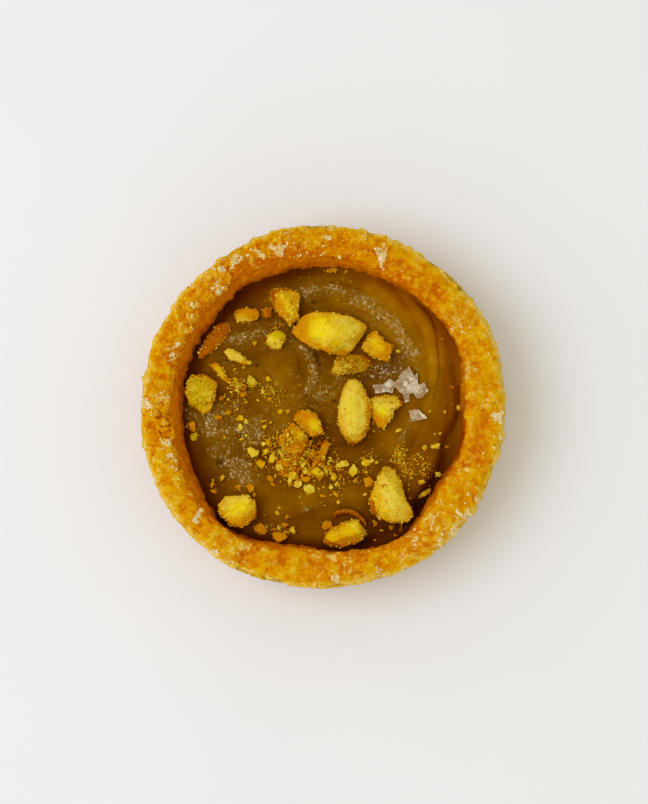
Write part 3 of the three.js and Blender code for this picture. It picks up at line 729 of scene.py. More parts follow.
# spoon lines: points in millimetres, width, height (+ ridge, - groove), step (the left side of the line is higher)
SPOON = [
    ([(16.0, 23.0), (17.9, 22.1), (20.9, 19.9), (22.7, 17.1), (23.5, 11.9), (23.2, 7.1), (22.2, 2.5), (20.4, -1.5)], 0.40, -0.30, -0.42),
    ([(5.0, 19.6), (9.3, 18.2), (14.3, 14.9), (17.3, 10.7), (18.5, 8.2), (18.9, 5.0), (18.0, 1.5)], 0.50, -0.32, 0.35),
    ([(-7.0, 14.8), (-5.2, 13.3), (-2.8, 11.6), (-1.9, 8.9), (-2.2, 5.9), (-3.8, 2.6), (-5.4, 0.6)], 0.75, 0.42, 0.0),
    ([(-1.4, 12.4), (-0.5, 9.5), (-0.8, 6.0), (-2.2, 3.0), (-3.6, 0.8)], 0.45, -0.34, 0.0),
    ([(-5.4, 12.0), (-4.4, 9.6), (-4.9, 6.6), (-6.4, 4.4)], 0.40, -0.22, 0.0),
    ([(-6.3, 5.6), (-5.4, 6.0), (-4.2, 7.0)], 0.30, 0.38, 0.0),
    ([(-3.9, 5.6), (-4.3, 3.0), (-5.6, 0.2)], 0.22, 0.16, 0.0),
    ([(3.6, 6.0), (1.6, 2.4), (-2.0, -0.6)], 0.35, -0.22, 0.2),
    ([(18.6, -0.6), (16.2, -4.6), (15.2, -9.0)], 0.50, 0.24, 0.25),
    ([(20.2, -2.4), (18.4, -6.4), (16.4, -11.0)], 0.45, -0.22, 0.0),
    ([(-19.5, 14.4), (-15.5, 14.2), (-11.5, 15.2), (-8.6, 17.4)], 0.80, 0.34, 0.0),
    ([(-19.8, 12.2), (-15.6, 11.9), (-11.8, 12.4)], 0.50, -0.22, 0.0),
    ([(-22.5, -1.0), (-18.5, -4.0), (-16.6, -8.0), (-15.2, -13.0)], 1.30, 0.28, 0.0),
    ([(-14.6, -1.6), (-12.6, -6.4), (-11.6, -11.6), (-8.0, -16.0)], 0.80, -0.26, 0.0),
    ([(-9.0, -21.6), (-3.6, -20.4), (0.0, -18.9), (5.6, -18.7)], 0.90, 0.30, 0.0),
    ([(-4.6, -20.9), (-1.0, -19.6)], 0.30, 0.14, 0.0),
    ([(-8.0, 24.6), (-0.6, 25.2), (5.4, 24.6), (10.4, 22.6)], 0.60, -0.28, 0.3),
    ([(1.4, 0.5), (4.3, -2.5), (9.0, -5.0)], 0.40, -0.2, 0.2),
    ([(-14.0, 9.6), (-11.0, 5.6), (-9.4, 1.0), (-9.2, -3.0)], 0.70, 0.2, 0.0),
]
# where the skin of the cream glints, painted as highlights: points, width, strength
GLINT = [
    ([(-9.0, 22.6), (-0.6, 23.4), (4.4, 22.7), (9.3, 20.5), (14.0, 16.6), (17.2, 12.0), (18.9, 8.0)], 1.25, 1.0),
    ([(4.4, 22.7), (9.3, 20.5)], 2.2, 0.5),
    ([(-9.5, 12.4), (-6.6, 13.9), (-4.8, 12.9), (-2.6, 11.3), (-1.9, 8.9), (-2.2, 5.9), (-3.9, 2.7)], 0.95, 0.95),
    ([(-5.9, 5.7), (-4.9, 6.4)], 0.5, 0.9),
    ([(-24.0, -1.0), (-21.0, -4.0), (-17.0, -4.6)], 2.6, 1.0),
    ([(-20.4, -7.0), (-18.6, -10.6), (-15.0, -13.6)], 2.7, 0.9),
    ([(-17.0, -1.0), (-13.6, -5.0)], 2.0, 0.55),
    ([(-12.4, -0.6), (-9.6, -3.4)], 1.6, 0.45),
    ([(-18.6, 14.0), (-14.8, 13.6), (-11.8, 14.8)], 1.0, 0.9),
    ([(-3.8, -20.5), (-0.8, -19.4)], 0.55, 0.9),
    ([(17.6, -2.6), (15.6, -6.2)], 0.8, 0.7),
    ([(0.0, 2.0), (2.6, 5.6)], 1.3, 0.55),
    ([(-8.6, 21.6), (-6.0, 23.4)], 1.2, 0.4),
    ([(24.2, 12.0), (24.8, 7.0)], 0.7, 0.35),
]
# lighter olive, partly the cream's own colour and partly painted light on ridges: points, width, strength
OLIVE_AND_LIT = [
    ([(-12.5, 8.0), (-8.0, 8.6), (-7.0, 4.0)], 2.6, 0.8),
    ([(2.0, 3.0), (1.0, 7.0), (3.0, 0.0)], 2.6, 0.55),
    ([(-16.5, 2.0), (-12.0, 0.5)], 2.4, 0.35),
    ([(9.0, 23.2), (15.0, 20.2), (19.2, 16.0), (21.2, 11.0), (21.2, 6.0), (20.2, 1.0), (18.6, -3.6)], 1.9, 1.0),
    ([(2.0, 21.4), (7.4, 19.8), (12.4, 16.8), (15.6, 12.4), (16.6, 8.6)], 1.8, 0.80),
    ([(-9.0, -20.0), (-2.0, -17.6), (5.0, -17.6)], 2.0, 0.75),
    ([(-14.0, -3.0), (-10.5, -3.0)], 2.4, 0.5),
    ([(-13.6, 8.6), (-9.0, 6.0), (-7.4, 1.0), (-7.6, -3.0)], 3.6, 0.72),
    ([(-8.0, 20.5), (-2.0, 22.0), (6.0, 21.0)], 2.4, 0.35),
    ([(-15.0, -15.0), (-9.0, -16.6)], 1.8, 0.5),
    ([(-9.0, 20.0), (-3.0, 21.0)], 1.2, 0.3),
    ([(13.8, -3.6), (12.8, -8.0)], 1.4, 0.4),
]
# painted light, golden on the ridges at the back right: points, width, strength
LIT_GOLD_LINES = [
    ([(10.0, 23.6), (15.6, 20.4), (19.6, 16.2), (21.4, 11.4), (21.0, 6.4)], 1.5, 0.85),
    ([(15.0, 20.6), (20.2, 15.6), (22.2, 10.0)], 2.6, 0.7),
    ([(20.4, 4.0), (19.4, -1.0)], 1.2, 0.5),
    ([(11.6, 18.8), (16.2, 14.2), (18.4, 9.6)], 1.3, 0.45),
    ([(7.6, 19.0), (12.8, 15.8), (15.6, 11.6)], 1.6, 0.28),
]
# lines of painted shade: points, width, strength
SHADE_LINES = [
    ([(27.8, 3.4), (27.2, -2.0), (25.8, -4.8), (24.4, -7.8), (23.4, -10.8), (21.8, -14.0), (19.6, -17.5), (17.0, -20.7), (14.0, -23.5), (10.8, -25.4), (7.0, -26.8)], 1.2, 0.62),
    ([(20.6, 21.0), (24.6, 16.0), (26.6, 10.0), (27.4, 4.0)], 1.7, 0.25),
    ([(9.0, 12.4), (13.6, 11.0), (16.6, 8.6)], 1.1, 0.45),
    ([(15.0, -18.5), (10.0, -23.5)], 2.2, 0.55),
    ([(-24.5, -6.0), (-22.6, -13.0), (-19.0, -18.0)], 1.4, 0.45),
    ([(-20.0, 10.0), (-14.0, 10.2)], 1.2, 0.35),
    ([(5.0, -6.0), (9.0, -6.8)], 1.4, 0.3),
    ([(-22.0, 17.0), (-16.0, 22.0), (-8.0, 26.0), (2.0, 27.6)], 1.6, 0.5),
]
FROST = [([(8.0, 6.2), (11.0, 6.8), (13.5, 8.6), (15.6, 9.4)], 1.9, 1.0), ([(11.0, 4.6), (15.0, 5.4)], 1.3, 0.8)]


def spoon_lie(x, y):
    """Distance along and across the nearest glint line, in millimetres."""
    best, u, v = np.full(x.shape, 1e9), np.zeros(x.shape), np.zeros(x.shape)
    for k, (pts, width, _) in enumerate(GLINT):
        line = rounded(pts)
        d, side, t = line_field(x, y, line)
        near = d / width < best
        best = np.where(near, d / width, best)
        u = np.where(near, 40.0 * k + t * sum(math.dist(p, q) for p, q in zip(line, line[1:])), u)
        v = np.where(near, d * side, v)
    return u, v


def spread(x, y, table, ends=0.8):
    out = np.zeros_like(x)
    for pts, width, strength in table:
        d, _, _ = line_field(x, y, rounded(pts))
        out = np.maximum(out, strength * np.exp(-((d / width) ** 2)))
    return out


def cream_relief(x, y):
    z = np.zeros_like(x)
    for pts, width, height, step in SPOON:
        d, side, t = line_field(x, y, rounded(pts))
        ends = smooth(t / 0.16) * smooth((1 - t) / 0.16)
        z = z + ends * (1.35 * height * np.exp(-((d / width) ** 2) if height > 0 else -d / width) + 0.5 * step * side * np.exp(-d / 2.2) * (1 - np.exp(-d / 0.25)))
    d, _, _ = line_field(x, y, rounded(SHADE_LINES[0][0]))
    return z - 0.75 * np.exp(-((d / 1.0) ** 2))


def cream_mesh():
    around, rings = 560, 124
    th = 2 * np.pi * np.arange(around) / around
    edge = hollow(th, CREAM_LEVEL) + 0.35
    t = np.linspace(0, 1, rings + 1)[1:]
    r = edge[None, :] * (t[:, None] ** 0.90)
    x, y = r * np.cos(th), r * np.sin(th)
    flat = np.stack([x, y, 0 * x], -1)
    wx = x + 0.40 * fbm(flat, 6.5, 2, 141)
    wy = y + 0.40 * fbm(flat, 6.5, 2, 142)
    z = cream_height(x, y) + cream_relief(wx, wy)
    # broad unevenness, short spoon drags and a faint orange-peel
    turn = np.arctan2(y, x)
    swirl = np.stack([np.hypot(x, y) * 2.0, np.cos(turn) * 9 + np.hypot(x, y) * 0.2, np.sin(turn) * 9], -1)
    z = z + 0.10 * fbm(flat, 8.0, 2, 91) + 0.035 * fbm(flat, 1.4, 3, 95) + 0.06 * fbm(swirl, 2.6, 3, 97)
    P = np.stack([x, y, z], -1)
    patch = smooth(0.5 + 1.1 * fbm(flat, 2.2, 3, 131))
    sheen = spread(wx, wy, GLINT) * (0.45 + 0.55 * patch) + 0.24 * patch * smooth((25.0 - np.hypot(x, y)) / 2.0) * smooth(0.5 - 0.06 * x + 0.10 * (y + 6.0))
    along, across = spoon_lie(wx, wy)
    # lighter olive along the lines, and painted light over the right-hand side
    olive = spread(wx, wy, OLIVE_AND_LIT) * (0.7 + 0.3 * fbm(flat, 3.0, 2, 133)) + 0.38 * smooth((x + 1.0 + 0.35 * y) / 18.0)
    wall = smooth((np.hypot(x, y) - (hollow(th, CREAM_LEVEL) - 3.2)) / 3.4)
    back_right = smooth((np.cos(turn - rad(48)) - 0.45) / 0.4)
    # painted shade: darker next to the walls, less at the back right, and along the shade lines
    painted_shade = np.clip(0.92 * spread(wx, wy, SHADE_LINES) * (1 - 0.5 * back_right) * (1 - 0.60 * np.exp(-((turn - 0.1) / 0.35) ** 2)) + (0.80 - 0.10 * np.cos(turn)) * (1 - back_right) * (1 - 0.55 * np.exp(-((turn - rad(112)) / 0.28) ** 2)) * (1 - 0.40 * np.exp(-((turn / 0.35) ** 2))) * wall + 0.10 * wall, 0, 0.96)
    # painted shade at the foot on the left, where the cream turns down before the wall
    painted_shade = np.clip(painted_shade + 0.40 * np.exp(-(1 - np.cos(turn - rad(168))) / 0.06) * smooth((np.hypot(x, y) - 24.2) / 1.4), 0, 0.97)
    # painted shade and warm light thrown back from the crust: near the wall at the right and the back left, faintly
    # over the front right
    crust_bounce = 0.85 * smooth((np.hypot(x, y) - 23.4) / 2.0) * smooth((np.cos(turn - rad(30)) - 0.55) / 0.3) + 0.35 * smooth((x - 12.0) / 10.0) * smooth((6.0 - y) / 10.0) + 0.75 * np.exp(-(((turn - rad(114)) / 0.17) ** 2)) * smooth((np.hypot(x, y) - 25.4) / 0.7)
    crust_bounce = np.clip(crust_bounce, 0, 0.9)
    # painted light: a lit foot by the right wall, and golden ridges at the back right
    lit_foot = 0.50 * np.exp(-((turn / 0.30) ** 2)) * smooth((np.hypot(x, y) - 24.6) / 1.0)
    painted_light_gold = np.clip(spread(wx, wy, LIT_GOLD_LINES) * (0.75 + 0.25 * fbm(flat, 2.6, 2, 137)) + lit_foot, 0, 1)
    frost = spread(wx, wy, FROST) * (0.4 + 0.6 * patch)
    speck = np.zeros_like(x)
    for sx, sy, sr in ((-1.5, 21.0, 0.40), (-13.1, 8.5, 0.42), (2.4, 1.2, 0.30), (-20.1, -10.8, 0.85), (-19.3, -11.9, 0.4), (11.9, 17.4, 0.2), (-3.2, -15.5, 0.2), (5.6, -22.4, 0.25), (16.0, -13.6, 0.25), (-6.4, 17.0, 0.25)):
        hole = np.exp(-(((wx - sx) ** 2 + (wy - sy) ** 2) / sr**2))
        speck = np.maximum(speck, 0.8 * hole)
        P[..., 2] -= 0.18 * hole
    ring = [P.reshape(-1, 3)]
    for zz, inset in ((12.0, 0.0), (FLOOR + 0.6, 0.6)):
        rr = hollow(th, np.full_like(th, zz)) + 0.2 - inset
        ring.append(np.stack([rr * np.cos(th), rr * np.sin(th), np.full_like(th, zz)], -1))
    verts = np.vstack([[[0, 0, float(P[0, :, 2].mean())]], *ring, [[0, 0, FLOOR + 0.6]]])
    q = grid_faces(rings + 2, around) + 1
    j = np.arange(around)
    k = (j + 1) % around
    lastr = 1 + (rings + 1) * around
    tri = np.concatenate([q[:, [0, 1, 2]], q[:, [0, 2, 3]], np.stack([0 * j, 1 + k, 1 + j], -1), np.stack([np.full(around, len(verts) - 1), lastr + j, lastr + k], -1)])
    extra = 2 * around + 1
    attrs = {k_: np.concatenate([[float(v[0].mean())], v.ravel(), np.zeros(extra)]) for k_, v in {"sheen": sheen, "olive": olive, "painted_shade": painted_shade, "speck": speck, "frost": frost, "along": along, "across": across, "crust_bounce": crust_bounce, "painted_light_gold": painted_light_gold}.items()}
    return verts, tri, attrs


mv, mf, ma = cream_mesh()
vol = np.einsum("ij,ij->i", mv[mf[:, 0]], np.cross(mv[mf[:, 1]], mv[mf[:, 2]])).sum()
if vol < 0:
    mf = mf[:, ::-1]
cream = make_object("cream_swirled", mv, mf, M_CREAM, ma)
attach(cream, "root")
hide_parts("cream_filling")

# ------------------------------------------------------------------ chopped nuts
# name, kind, x, y, length, width, thickness, turn, pitch, roll, pointedness of the ends, squareness, lift,
# knife faces [compass direction, slope, distance],
# colouring [what, compass direction, slope, start along it, softness]
NUTS = [
    ("pistachio_crumbly_piece", "olive", 5.3, 8.5, 8.2, 4.6, 2.8, 10, 0, 0, (0.6, 0.6), 0.7, 0, [(215, 20, 2.9), (-30, 30, 3.0), (80, 62, 1.0), (300, 55, 1.3)],
     [("pale", 200, 20, 2.4, 1.4), ("skin", 40, 0, 3.2, 1.6), ("speckle", 20, 0, -0.6, 1.4)]),
    ("pistachio_half_kernel", "yellow", 1.55, 14.6, 16.6, 8.9, 4.8, 1, 0, 5, (0.66, 0.72), 0.92, 0.5, [(-52, 18, 4.9), (200, 40, 5.2), (12, 60, 2.9), (165, 70, 2.25), (-62, 47, 3.2)],
     [("deep", 196, 0, 4.0, 4.0), ("deep", 258, -12, 2.6, 0.6), ("pale", 12, 10, 2.4, 3.0), ("green", -62, 0, 2.7, 0.30)]),
    ("pistachio_cube", "toasted", 10.6, 12.1, 7.4, 6.6, 3.6, -38, 0, 0, (0.4, 0.4), 0.5, 0, [(48, 14, 1.9), (132, 20, 2.4), (-20, 15, 2.6), (-112, 8, 2.1), (190, 30, 2.7), (150, 70, 1.6)],
     [("deep", 30, 0, -0.4, 2.6), ("skin", 60, -10, 2.2, 0.5), ("deep", 270, 0, 1.8, 0.8), ("pale", 120, 40, 1.6, 1.2), ("skin", 0, -10, 2.7, 0.4)]),
    ("pistachio_long_kernel", "yellow", 6.25, -1.0, 13.8, 6.7, 4.3, 96.8, 0, 0, (0.7, 0.6), 0.95, 0, [(212, 25, 3.5), (0, 50, 2.4), (180, 55, 2.3), (275, 55, 4.4)],
     [("pale", 0, 90, -0.6, 1.6), ("skin", 105, -15, 5.9, 0.4), ("skin", 250, -20, 5.6, 0.4), ("deep", 0, 0, 2.3, 0.8)]),
    ("pistachio_wedge", "yellow", 12.4, -0.9, 10.4, 8.8, 3.4, 12, 0, 0, (0.4, 0.45), 0.5, 0, [(83, 8, 2.5), (-40, 14, 1.7), (180, 16, 3.0), (-105, 12, 3.2), (205, 58, 1.7), (70, 70, 1.5)],
     [("deep", 240, 10, 1.2, 1.2), ("skin", 195, -10, 2.5, 0.4), ("pale", 75, 10, 0.2, 2.2), ("skin", 20, -10, 3.4, 0.5)]),
    ("pistachio_shield", "toasted", -7.2, 20.3, 9.0, 7.6, 3.8, -64, 0, 0, (0.4, 0.5), 0.6, 0, [(227, 18, 2.2), (-5, 16, 2.9), (95, 24, 3.0), (40, 62, 1.9), (200, 60, 1.6)],
     [("skin", 190, 0, 2.1, 0.8), ("deep", 205, 0, 0.2, 2.6), ("skin", 95, 0, 2.8, 0.6), ("deep", -60, 0, 2.8, 1.0)]),
    ("pistachio_green_oval", "green", -9.4, 13.5, 4.8, 4.1, 3.0, 20, 0, 0, (0.5, 0.5), 0.85, 0, [(120, 30, 2.0), (300, 55, 1.3), (30, 62, 1.3)],
     [("pale", 250, 20, 0.4, 1.2), ("green", 80, 10, 0.2, 1.0)]),
    ("pistachio_small_block", "toasted", -15.2, 18.3, 5.7, 2.8, 2.2, 5, 0, 0, (0.4, 0.4), 0.6, 0, [(95, 40, 1.3), (-85, 50, 0.95), (180, 30, 2.5)],
     [("pale", 270, -5, 0.7, 0.4), ("deep", 60, 20, 0.2, 0.8)]),
    ("pistachio_skin_piece", "skin", -21.6, 13.1, 10.2, 3.8, 2.0, 48.7, 0, 0, (0.7, 0.6), 0.8, 0, [(-42, 45, 1.5), (140, 45, 1.3)],
     [("skin", 140, 20, -1.6, 1.0), ("deep", 48, 0, 4.6, 0.8), ("speckle", 228, 0, 1.5, 1.5)]),
    ("pistachio_pale_sliver", "yellow", -17.3, 10.5, 6.3, 2.1, 1.4, -27, 0, 0, (0.6, 0.8), 0.9, 0, [(63, 40, 0.75)],
     [("pale", 0, 90, -0.6, 0.6), ("deep", -27, 0, 1.8, 0.8)]),
    ("pistachio_orange_sliver", "toasted", -20.5, 7.0, 6.8, 2.0, 1.5, -51, 0, 0, (0.6, 0.6), 0.8, 0, [(40, 40, 0.75)],
     [("deep", 0, 90, -0.6, 0.4), ("pale", 39, 40, 0.55, 0.25), ("skin", 220, -10, 0.6, 0.3)]),
    ("pistachio_rough_block", "green", -24.0, 2.9, 10.4, 8.0, 3.9, -75, 0, 0, (0.4, 0.5), 0.6, 0, [(180, 10, 3.0), (95, 20, 3.8), (-5, 16, 3.0), (222, 12, 3.0), (-37, 14, 3.1), (60, 60, 1.8), (250, 62, 1.7)],
     [("green", 200, 30, 0.4, 4.0), ("speckle", 60, 10, 0.6, 1.4), ("skin", 95, 0, 3.4, 0.6)]),
    ("pistachio_browned_chunk", "toasted", -5.7, -6.3, 7.4, 6.8, 3.4, 20, 0, 0, (0.45, 0.5), 0.65, 0, [(70, 40, 2.8), (230, 35, 3.0), (-20, 50, 2.0), (140, 55, 1.7)],
     [("deep", 0, 90, -1.5, 1.0), ("skin", -40, 0, 2.4, 0.6), ("pale", 200, 0, 1.8, 1.0)]),
    ("pistachio_folded_slab", "toasted", -3.0, -3.3, 8.4, 5.8, 1.8, -45, 4, -14, (0.35, 0.35), 0.45, 1.4, [(83, 8, 2.5), (24, 12, 2.3), (-60, 10, 3.0), (-127, 8, 1.8), (190, 14, 2.4)],
     [("deep", 135, 0, -1.0, 1.2), ("pale", 30, 0, 1.7, 0.4), ("skin", 225, 0, 1.7, 0.4), ("speckle", 150, 0, -0.5, 1.0)]),
    ("pistachio_round_end", "yellow", -16.8, -20.5, 8.2, 6.9, 5.0, 5, 0, 0, (0.5, 0.45), 0.85, 0, [(85, 30, 3.1), (200, 45, 3.2), (350, 40, 3.4), (100, 75, 2.2)],
     [("pale", 110, 30, 2.0, 1.6), ("deep", 285, -10, 0.8, 2.6), ("skin", 310, -20, 2.7, 0.6)]),
    ("pistachio_oval", "yellow", 4.4, -24.85, 9.1, 5.1, 3.6, 18, 0, 0, (0.55, 0.6), 0.8, 0, [(168, 25, 3.6), (290, 50, 1.9), (100, 60, 1.7)],
     [("deep", 200, 10, -1.5, 3.0), ("green", 30, 20, 1.4, 2.0), ("skin", 240, -15, 2.4, 0.4), ("pale", 90, 60, 1.6, 0.6), ("skin", 0, -10, 4.1, 0.3)]),
    ("pistachio_pear", "yellow", 13.1, -17.5, 13.4, 9.2, 4.4, -70, 2, 0, (0.75, 0.4), 0.7, 0, [(21, 10, 2.5), (-68, 14, 5.2), (-117, 16, 4.7), (160, 12, 3.6), (30, 48, 2.6), (190, 60, 2.0)],
     [("pale", 30, 30, -0.4, 2.4), ("skin", 188, -5, 3.2, 0.5), ("speckle", 178, 10, -0.1, 1.6)]),
]
STAINS = ("skin", "pale", "deep", "green", "speckle")
# painted sheen, as clear yellow patches: x and y from the middle of the piece, half length, half width, turn, how clear
SHEEN_PATCHES = {
    "pistachio_half_kernel": [(-2.0, 0.9, 2.3, 2.2, 30, 0.9), (1.6, 0.4, 3.2, 1.5, 10, 0.40)],
    "pistachio_long_kernel": [(-0.6, 0.6, 3.0, 1.5, 95, 0.35)],
    "pistachio_cube": [(0.2, 0.3, 1.9, 1.2, -40, 0.50)],
    "pistachio_shield": [(0.4, -0.6, 2.2, 1.0, -60, 0.50), (-0.6, 1.6, 1.8, 1.0, 20, 0.3)],
    "pistachio_wedge": [(-0.6, 0.4, 1.6, 1.6, 0, 0.6)],
    "pistachio_folded_slab": [(1.3, -0.4, 1.5, 1.0, -50, 0.6)],
    "pistachio_round_end": [(0.4, 0.6, 2.6, 1.6, 10, 0.5)],
    "pistachio_oval": [(0.8, 0.6, 2.8, 1.4, 25, 0.50), (-2.4, -0.8, 1.6, 1.0, 20, 0.5)],
    "pistachio_green_oval": [(0.0, 0.2, 1.6, 1.4, 40, 0.45)],
    "pistachio_pear": [(1.2, 1.6, 2.6, 1.2, -60, 0.45)],
    "pistachio_rough_block": [(0.6, 1.6, 1.8, 1.4, 0, 0.25)],
    "pistachio_browned_chunk": [(0.9, 0.6, 1.5, 1.1, -40, 0.55)],
    "pistachio_orange_sliver": [(0.0, 0.0, 2.0, 0.6, -55, 0.45)],
}
# how thickly crumbs cling to each piece
CLING = {"pistachio_half_kernel": 0.45, "pistachio_long_kernel": 1.15, "pistachio_shield": 1.4, "pistachio_browned_chunk": 1.8, "pistachio_crumbly_piece": 1.7, "pistachio_round_end": 0.7, "pistachio_oval": 0.8, "pistachio_pear": 1.1, "pistachio_green_oval": 0.8}


def turn_matrix(roll, pitch, turn):
    r, p, t = np.deg2rad([roll, -pitch, turn])
    rx = np.array([[1, 0, 0], [0, np.cos(r), -np.sin(r)], [0, np.sin(r), np.cos(r)]])
    ry = np.array([[np.cos(p), 0, np.sin(p)], [0, 1, 0], [-np.sin(p), 0, np.cos(p)]])
    rz = np.array([[np.cos(t), -np.sin(t), 0], [np.sin(t), np.cos(t), 0], [0, 0, 1]])
    return rz @ ry @ rx


def unit(direction, slope):
    d, s = math.radians(direction), math.radians(slope)
    return np.array([math.cos(s) * math.cos(d), math.cos(s) * math.sin(d), math.sin(s)])


def kernel(dirs, l, w, t, point, square):
    u = dirs[:, 0]
    ang = np.arctan2(dirs[:, 2], dirs[:, 1])
    fat = (1 - np.clip(u * u, 0, 1) + 1e-9) ** np.where(u < 0, point[0], point[1])
    c, s = np.cos(ang), np.sin(ang)
    return np.stack([l / 2 * u, w / 2 * fat * np.sign(c) * np.abs(c) ** square, t / 2 * fat * np.sign(s) * np.abs(s) ** square], -1)


def slice_off(p, cuts, turn, edge=0.02):
    """Pulls points that lie beyond each knife face back onto it, along the line to the middle; also says how near each
    point is to the edge of a face."""
    keep = np.ones(len(p))
    ridge = np.zeros(len(p))
    for direction, slope, distance in cuts:
        n = unit(direction - turn, slope)
        reach = p @ n / distance
        s = np.where(reach > 1e-6, 1 / np.maximum(reach, 1e-6), 99.0)
        ridge = np.maximum(ridge * (s > keep - 0.08), np.exp(-(((keep - s) / 0.05) ** 2)))
        # smooth minimum, so that the cut edge is slightly rounded
        h = np.clip(0.5 + 0.5 * (keep - s) / edge, 0, 1)
        keep = keep * (1 - h) + s * h - edge * h * (1 - h)
    return p * np.minimum(keep, 1.0)[:, None], ridge


# outline of each piece from above, in millimetres from its middle
OUTLINES = {
    "pistachio_half_kernel": [(-8.0, 0.5), (-5.8, 3.5), (-3.4, 4.2), (1.8, 3.9), (4.0, 3.5), (8.0, 1.3), (5.8, -1.5), (4.4, -3.5), (2.8, -4.5), (0.7, -4.1), (-3.8, -2.9), (-6.5, -1.1)],
    "pistachio_cube": [(-2.7, 1.0), (-1.9, 2.4), (-0.3, 3.2), (1.7, 1.0), (3.5, 0.0), (2.3, -3.0), (-0.9, -2.1), (-2.9, -0.4)],
    "pistachio_crumbly_piece": [(-3.7, -1.5), (-2.5, 1.6), (-0.6, 2.2), (2.8, 2.4), (4.8, 0.7), (2.8, -1.3), (0.0, -1.7), (-2.3, -2.1)],
    "pistachio_long_kernel": [(-0.8, 6.8), (-2.2, 5.2), (-3.0, 2.4), (-3.4, -1.6), (-2.8, -4.1), (-0.3, -6.7), (2.1, -4.9), (3.1, -2.8), (3.2, 1.2), (2.2, 4.2), (0.7, 6.4)],
    "pistachio_wedge": [(-3.1, 2.5), (-1.9, 3.1), (2.0, 3.3), (4.2, 1.7), (1.8, 0.6), (1.2, -0.9), (-0.4, -3.5), (-2.7, -2.3), (-2.9, -0.1)],
    "pistachio_shield": [(-3.3, 1.6), (-3.0, 3.0), (-0.6, 3.4), (2.6, 2.5), (2.2, 0.0), (2.2, -2.6), (0.8, -4.0), (-1.2, -2.2), (-2.7, -0.4)],
    "pistachio_green_oval": [(-2.1, -0.6), (-1.5, 1.0), (-0.3, 1.8), (1.0, 1.8), (2.2, 1.0), (1.4, -1.0), (1.0, -2.1), (-0.7, -2.0)],
    "pistachio_small_block": [(-2.6, -0.1), (-2.1, 1.1), (-0.1, 1.6), (2.5, 1.2), (2.5, -0.3), (1.1, -1.1), (-1.9, -1.3)],
    "pistachio_skin_piece": [(1.5, 4.3), (3.5, 2.9), (2.3, 0.7), (0.3, -1.5), (-2.8, -3.6), (-3.4, -2.9), (-1.9, 0.3), (-0.3, 2.5)],
    "pistachio_pale_sliver": [(-3.0, 1.1), (-2.0, 1.7), (0.4, 0.5), (3.0, -1.5), (2.2, -2.1), (-1.2, -0.9)],
    "pistachio_orange_sliver": [(-2.4, 1.6), (-1.6, 2.7), (0.2, 1.4), (2.0, -1.6), (2.2, -2.8), (0.2, -1.2)],
    "pistachio_rough_block": [(-3.2, -0.3), (-3.0, 2.1), (-2.2, 3.5), (0.6, 3.7), (3.2, 2.1), (2.6, -0.5), (1.6, -3.7), (0.2, -4.2), (-2.6, -2.1)],
    "pistachio_browned_chunk": [(-3.2, -0.4), (-2.0, 1.7), (-0.5, 3.5), (1.9, 1.7), (3.3, -0.6), (2.9, -2.6), (1.3, -3.7), (-1.6, -2.6)],
    "pistachio_folded_slab": [(-3.2, 0.9), (-2.4, 2.7), (-0.2, 2.6), (1.8, 1.9), (3.2, -1.8), (1.0, -2.8), (-1.0, -0.9)],
    "pistachio_round_end": [(-4.0, 1.1), (-2.6, 2.9), (1.8, 3.2), (3.5, 1.5), (3.7, -1.3), (1.0, -3.4), (-1.4, -3.0), (-3.6, -0.7)],
    "pistachio_oval": [(-4.4, -1.4), (-3.6, 0.2), (-0.7, 2.1), (2.1, 2.9), (4.5, -0.2), (2.5, -2.0), (-0.9, -2.9), (-3.8, -2.4)],
    "pistachio_pear": [(-1.5, 5.2), (-0.3, 6.0), (0.9, 5.4), (2.5, 2.5), (2.9, 0.1), (4.9, -3.7), (3.9, -5.1), (0.9, -5.6), (-2.1, -4.4), (-3.6, -3.3), (-4.1, -0.5), (-3.0, 1.9)],
}


def outline_reach(pts, phi, soften=0.045):
    """Distance from the middle to the outline in each direction, with the corners slightly rounded."""
    pts = np.array(pts, float)
    total = 0.0
    for da, wgt in ((-soften, 0.25), (0.0, 0.5), (soften, 0.25)):
        c, s_ = np.cos(phi + da), np.sin(phi + da)
        best = np.zeros_like(phi)
        for a, b in zip(pts, np.roll(pts, -1, 0)):
            e = b - a
            den = c * e[1] - s_ * e[0]
            den = np.where(np.abs(den) < 1e-9, 1e-9, den)
            r = (a[0] * e[1] - a[1] * e[0]) / den
            k = (a[0] * s_ - a[1] * c) / den
            best = np.where((k >= -1e-6) & (k <= 1 + 1e-6) & (r > 0), np.maximum(best, r), best)
        total = total + wgt * best
    return total


def cake(dirs, pts, t, boxy=0.42, soften=0.045):
    """A piece with the given outline and thickness, flat on top and steep at the sides."""
    phi = np.arctan2(dirs[:, 1], dirs[:, 0])
    flat_ = np.hypot(dirs[:, 0], dirs[:, 1])
    r = outline_reach(pts, phi, soften) * np.maximum(flat_, 1e-6) ** boxy
    return np.stack([r * np.cos(phi), r * np.sin(phi), t / 2 * np.sign(dirs[:, 2]) * np.abs(dirs[:, 2]) ** boxy], -1)


def knife(p, r, count, lo=0.80, hi=0.94, steep=(25, 80), edge=0.015):
    """Cuts with flat faces at random directions, each a little below the highest point that way."""
    cuts = []
    for _ in range(count):
        n = unit(r.uniform(0, 360), r.uniform(*steep))
        cuts.append((n, (p @ n).max() * r.uniform(lo, hi)))
    keep, ridge = np.ones(len(p)), np.zeros(len(p))
    for n, distance in cuts:
        reach = p @ n / distance
        s_ = np.where(reach > 1e-6, 1 / np.maximum(reach, 1e-6), 99.0)
        ridge = np.maximum(ridge * (s_ > keep - 0.08), np.exp(-(((keep - s_) / 0.05) ** 2)))
        h = np.clip(0.5 + 0.5 * (keep - s_) / edge, 0, 1)
        keep = keep * (1 - h) + s_ * h - edge * h * (1 - h)
    return p * np.minimum(keep, 1.0)[:, None], ridge


NUT_SURFACES = []
BUDGET = {}
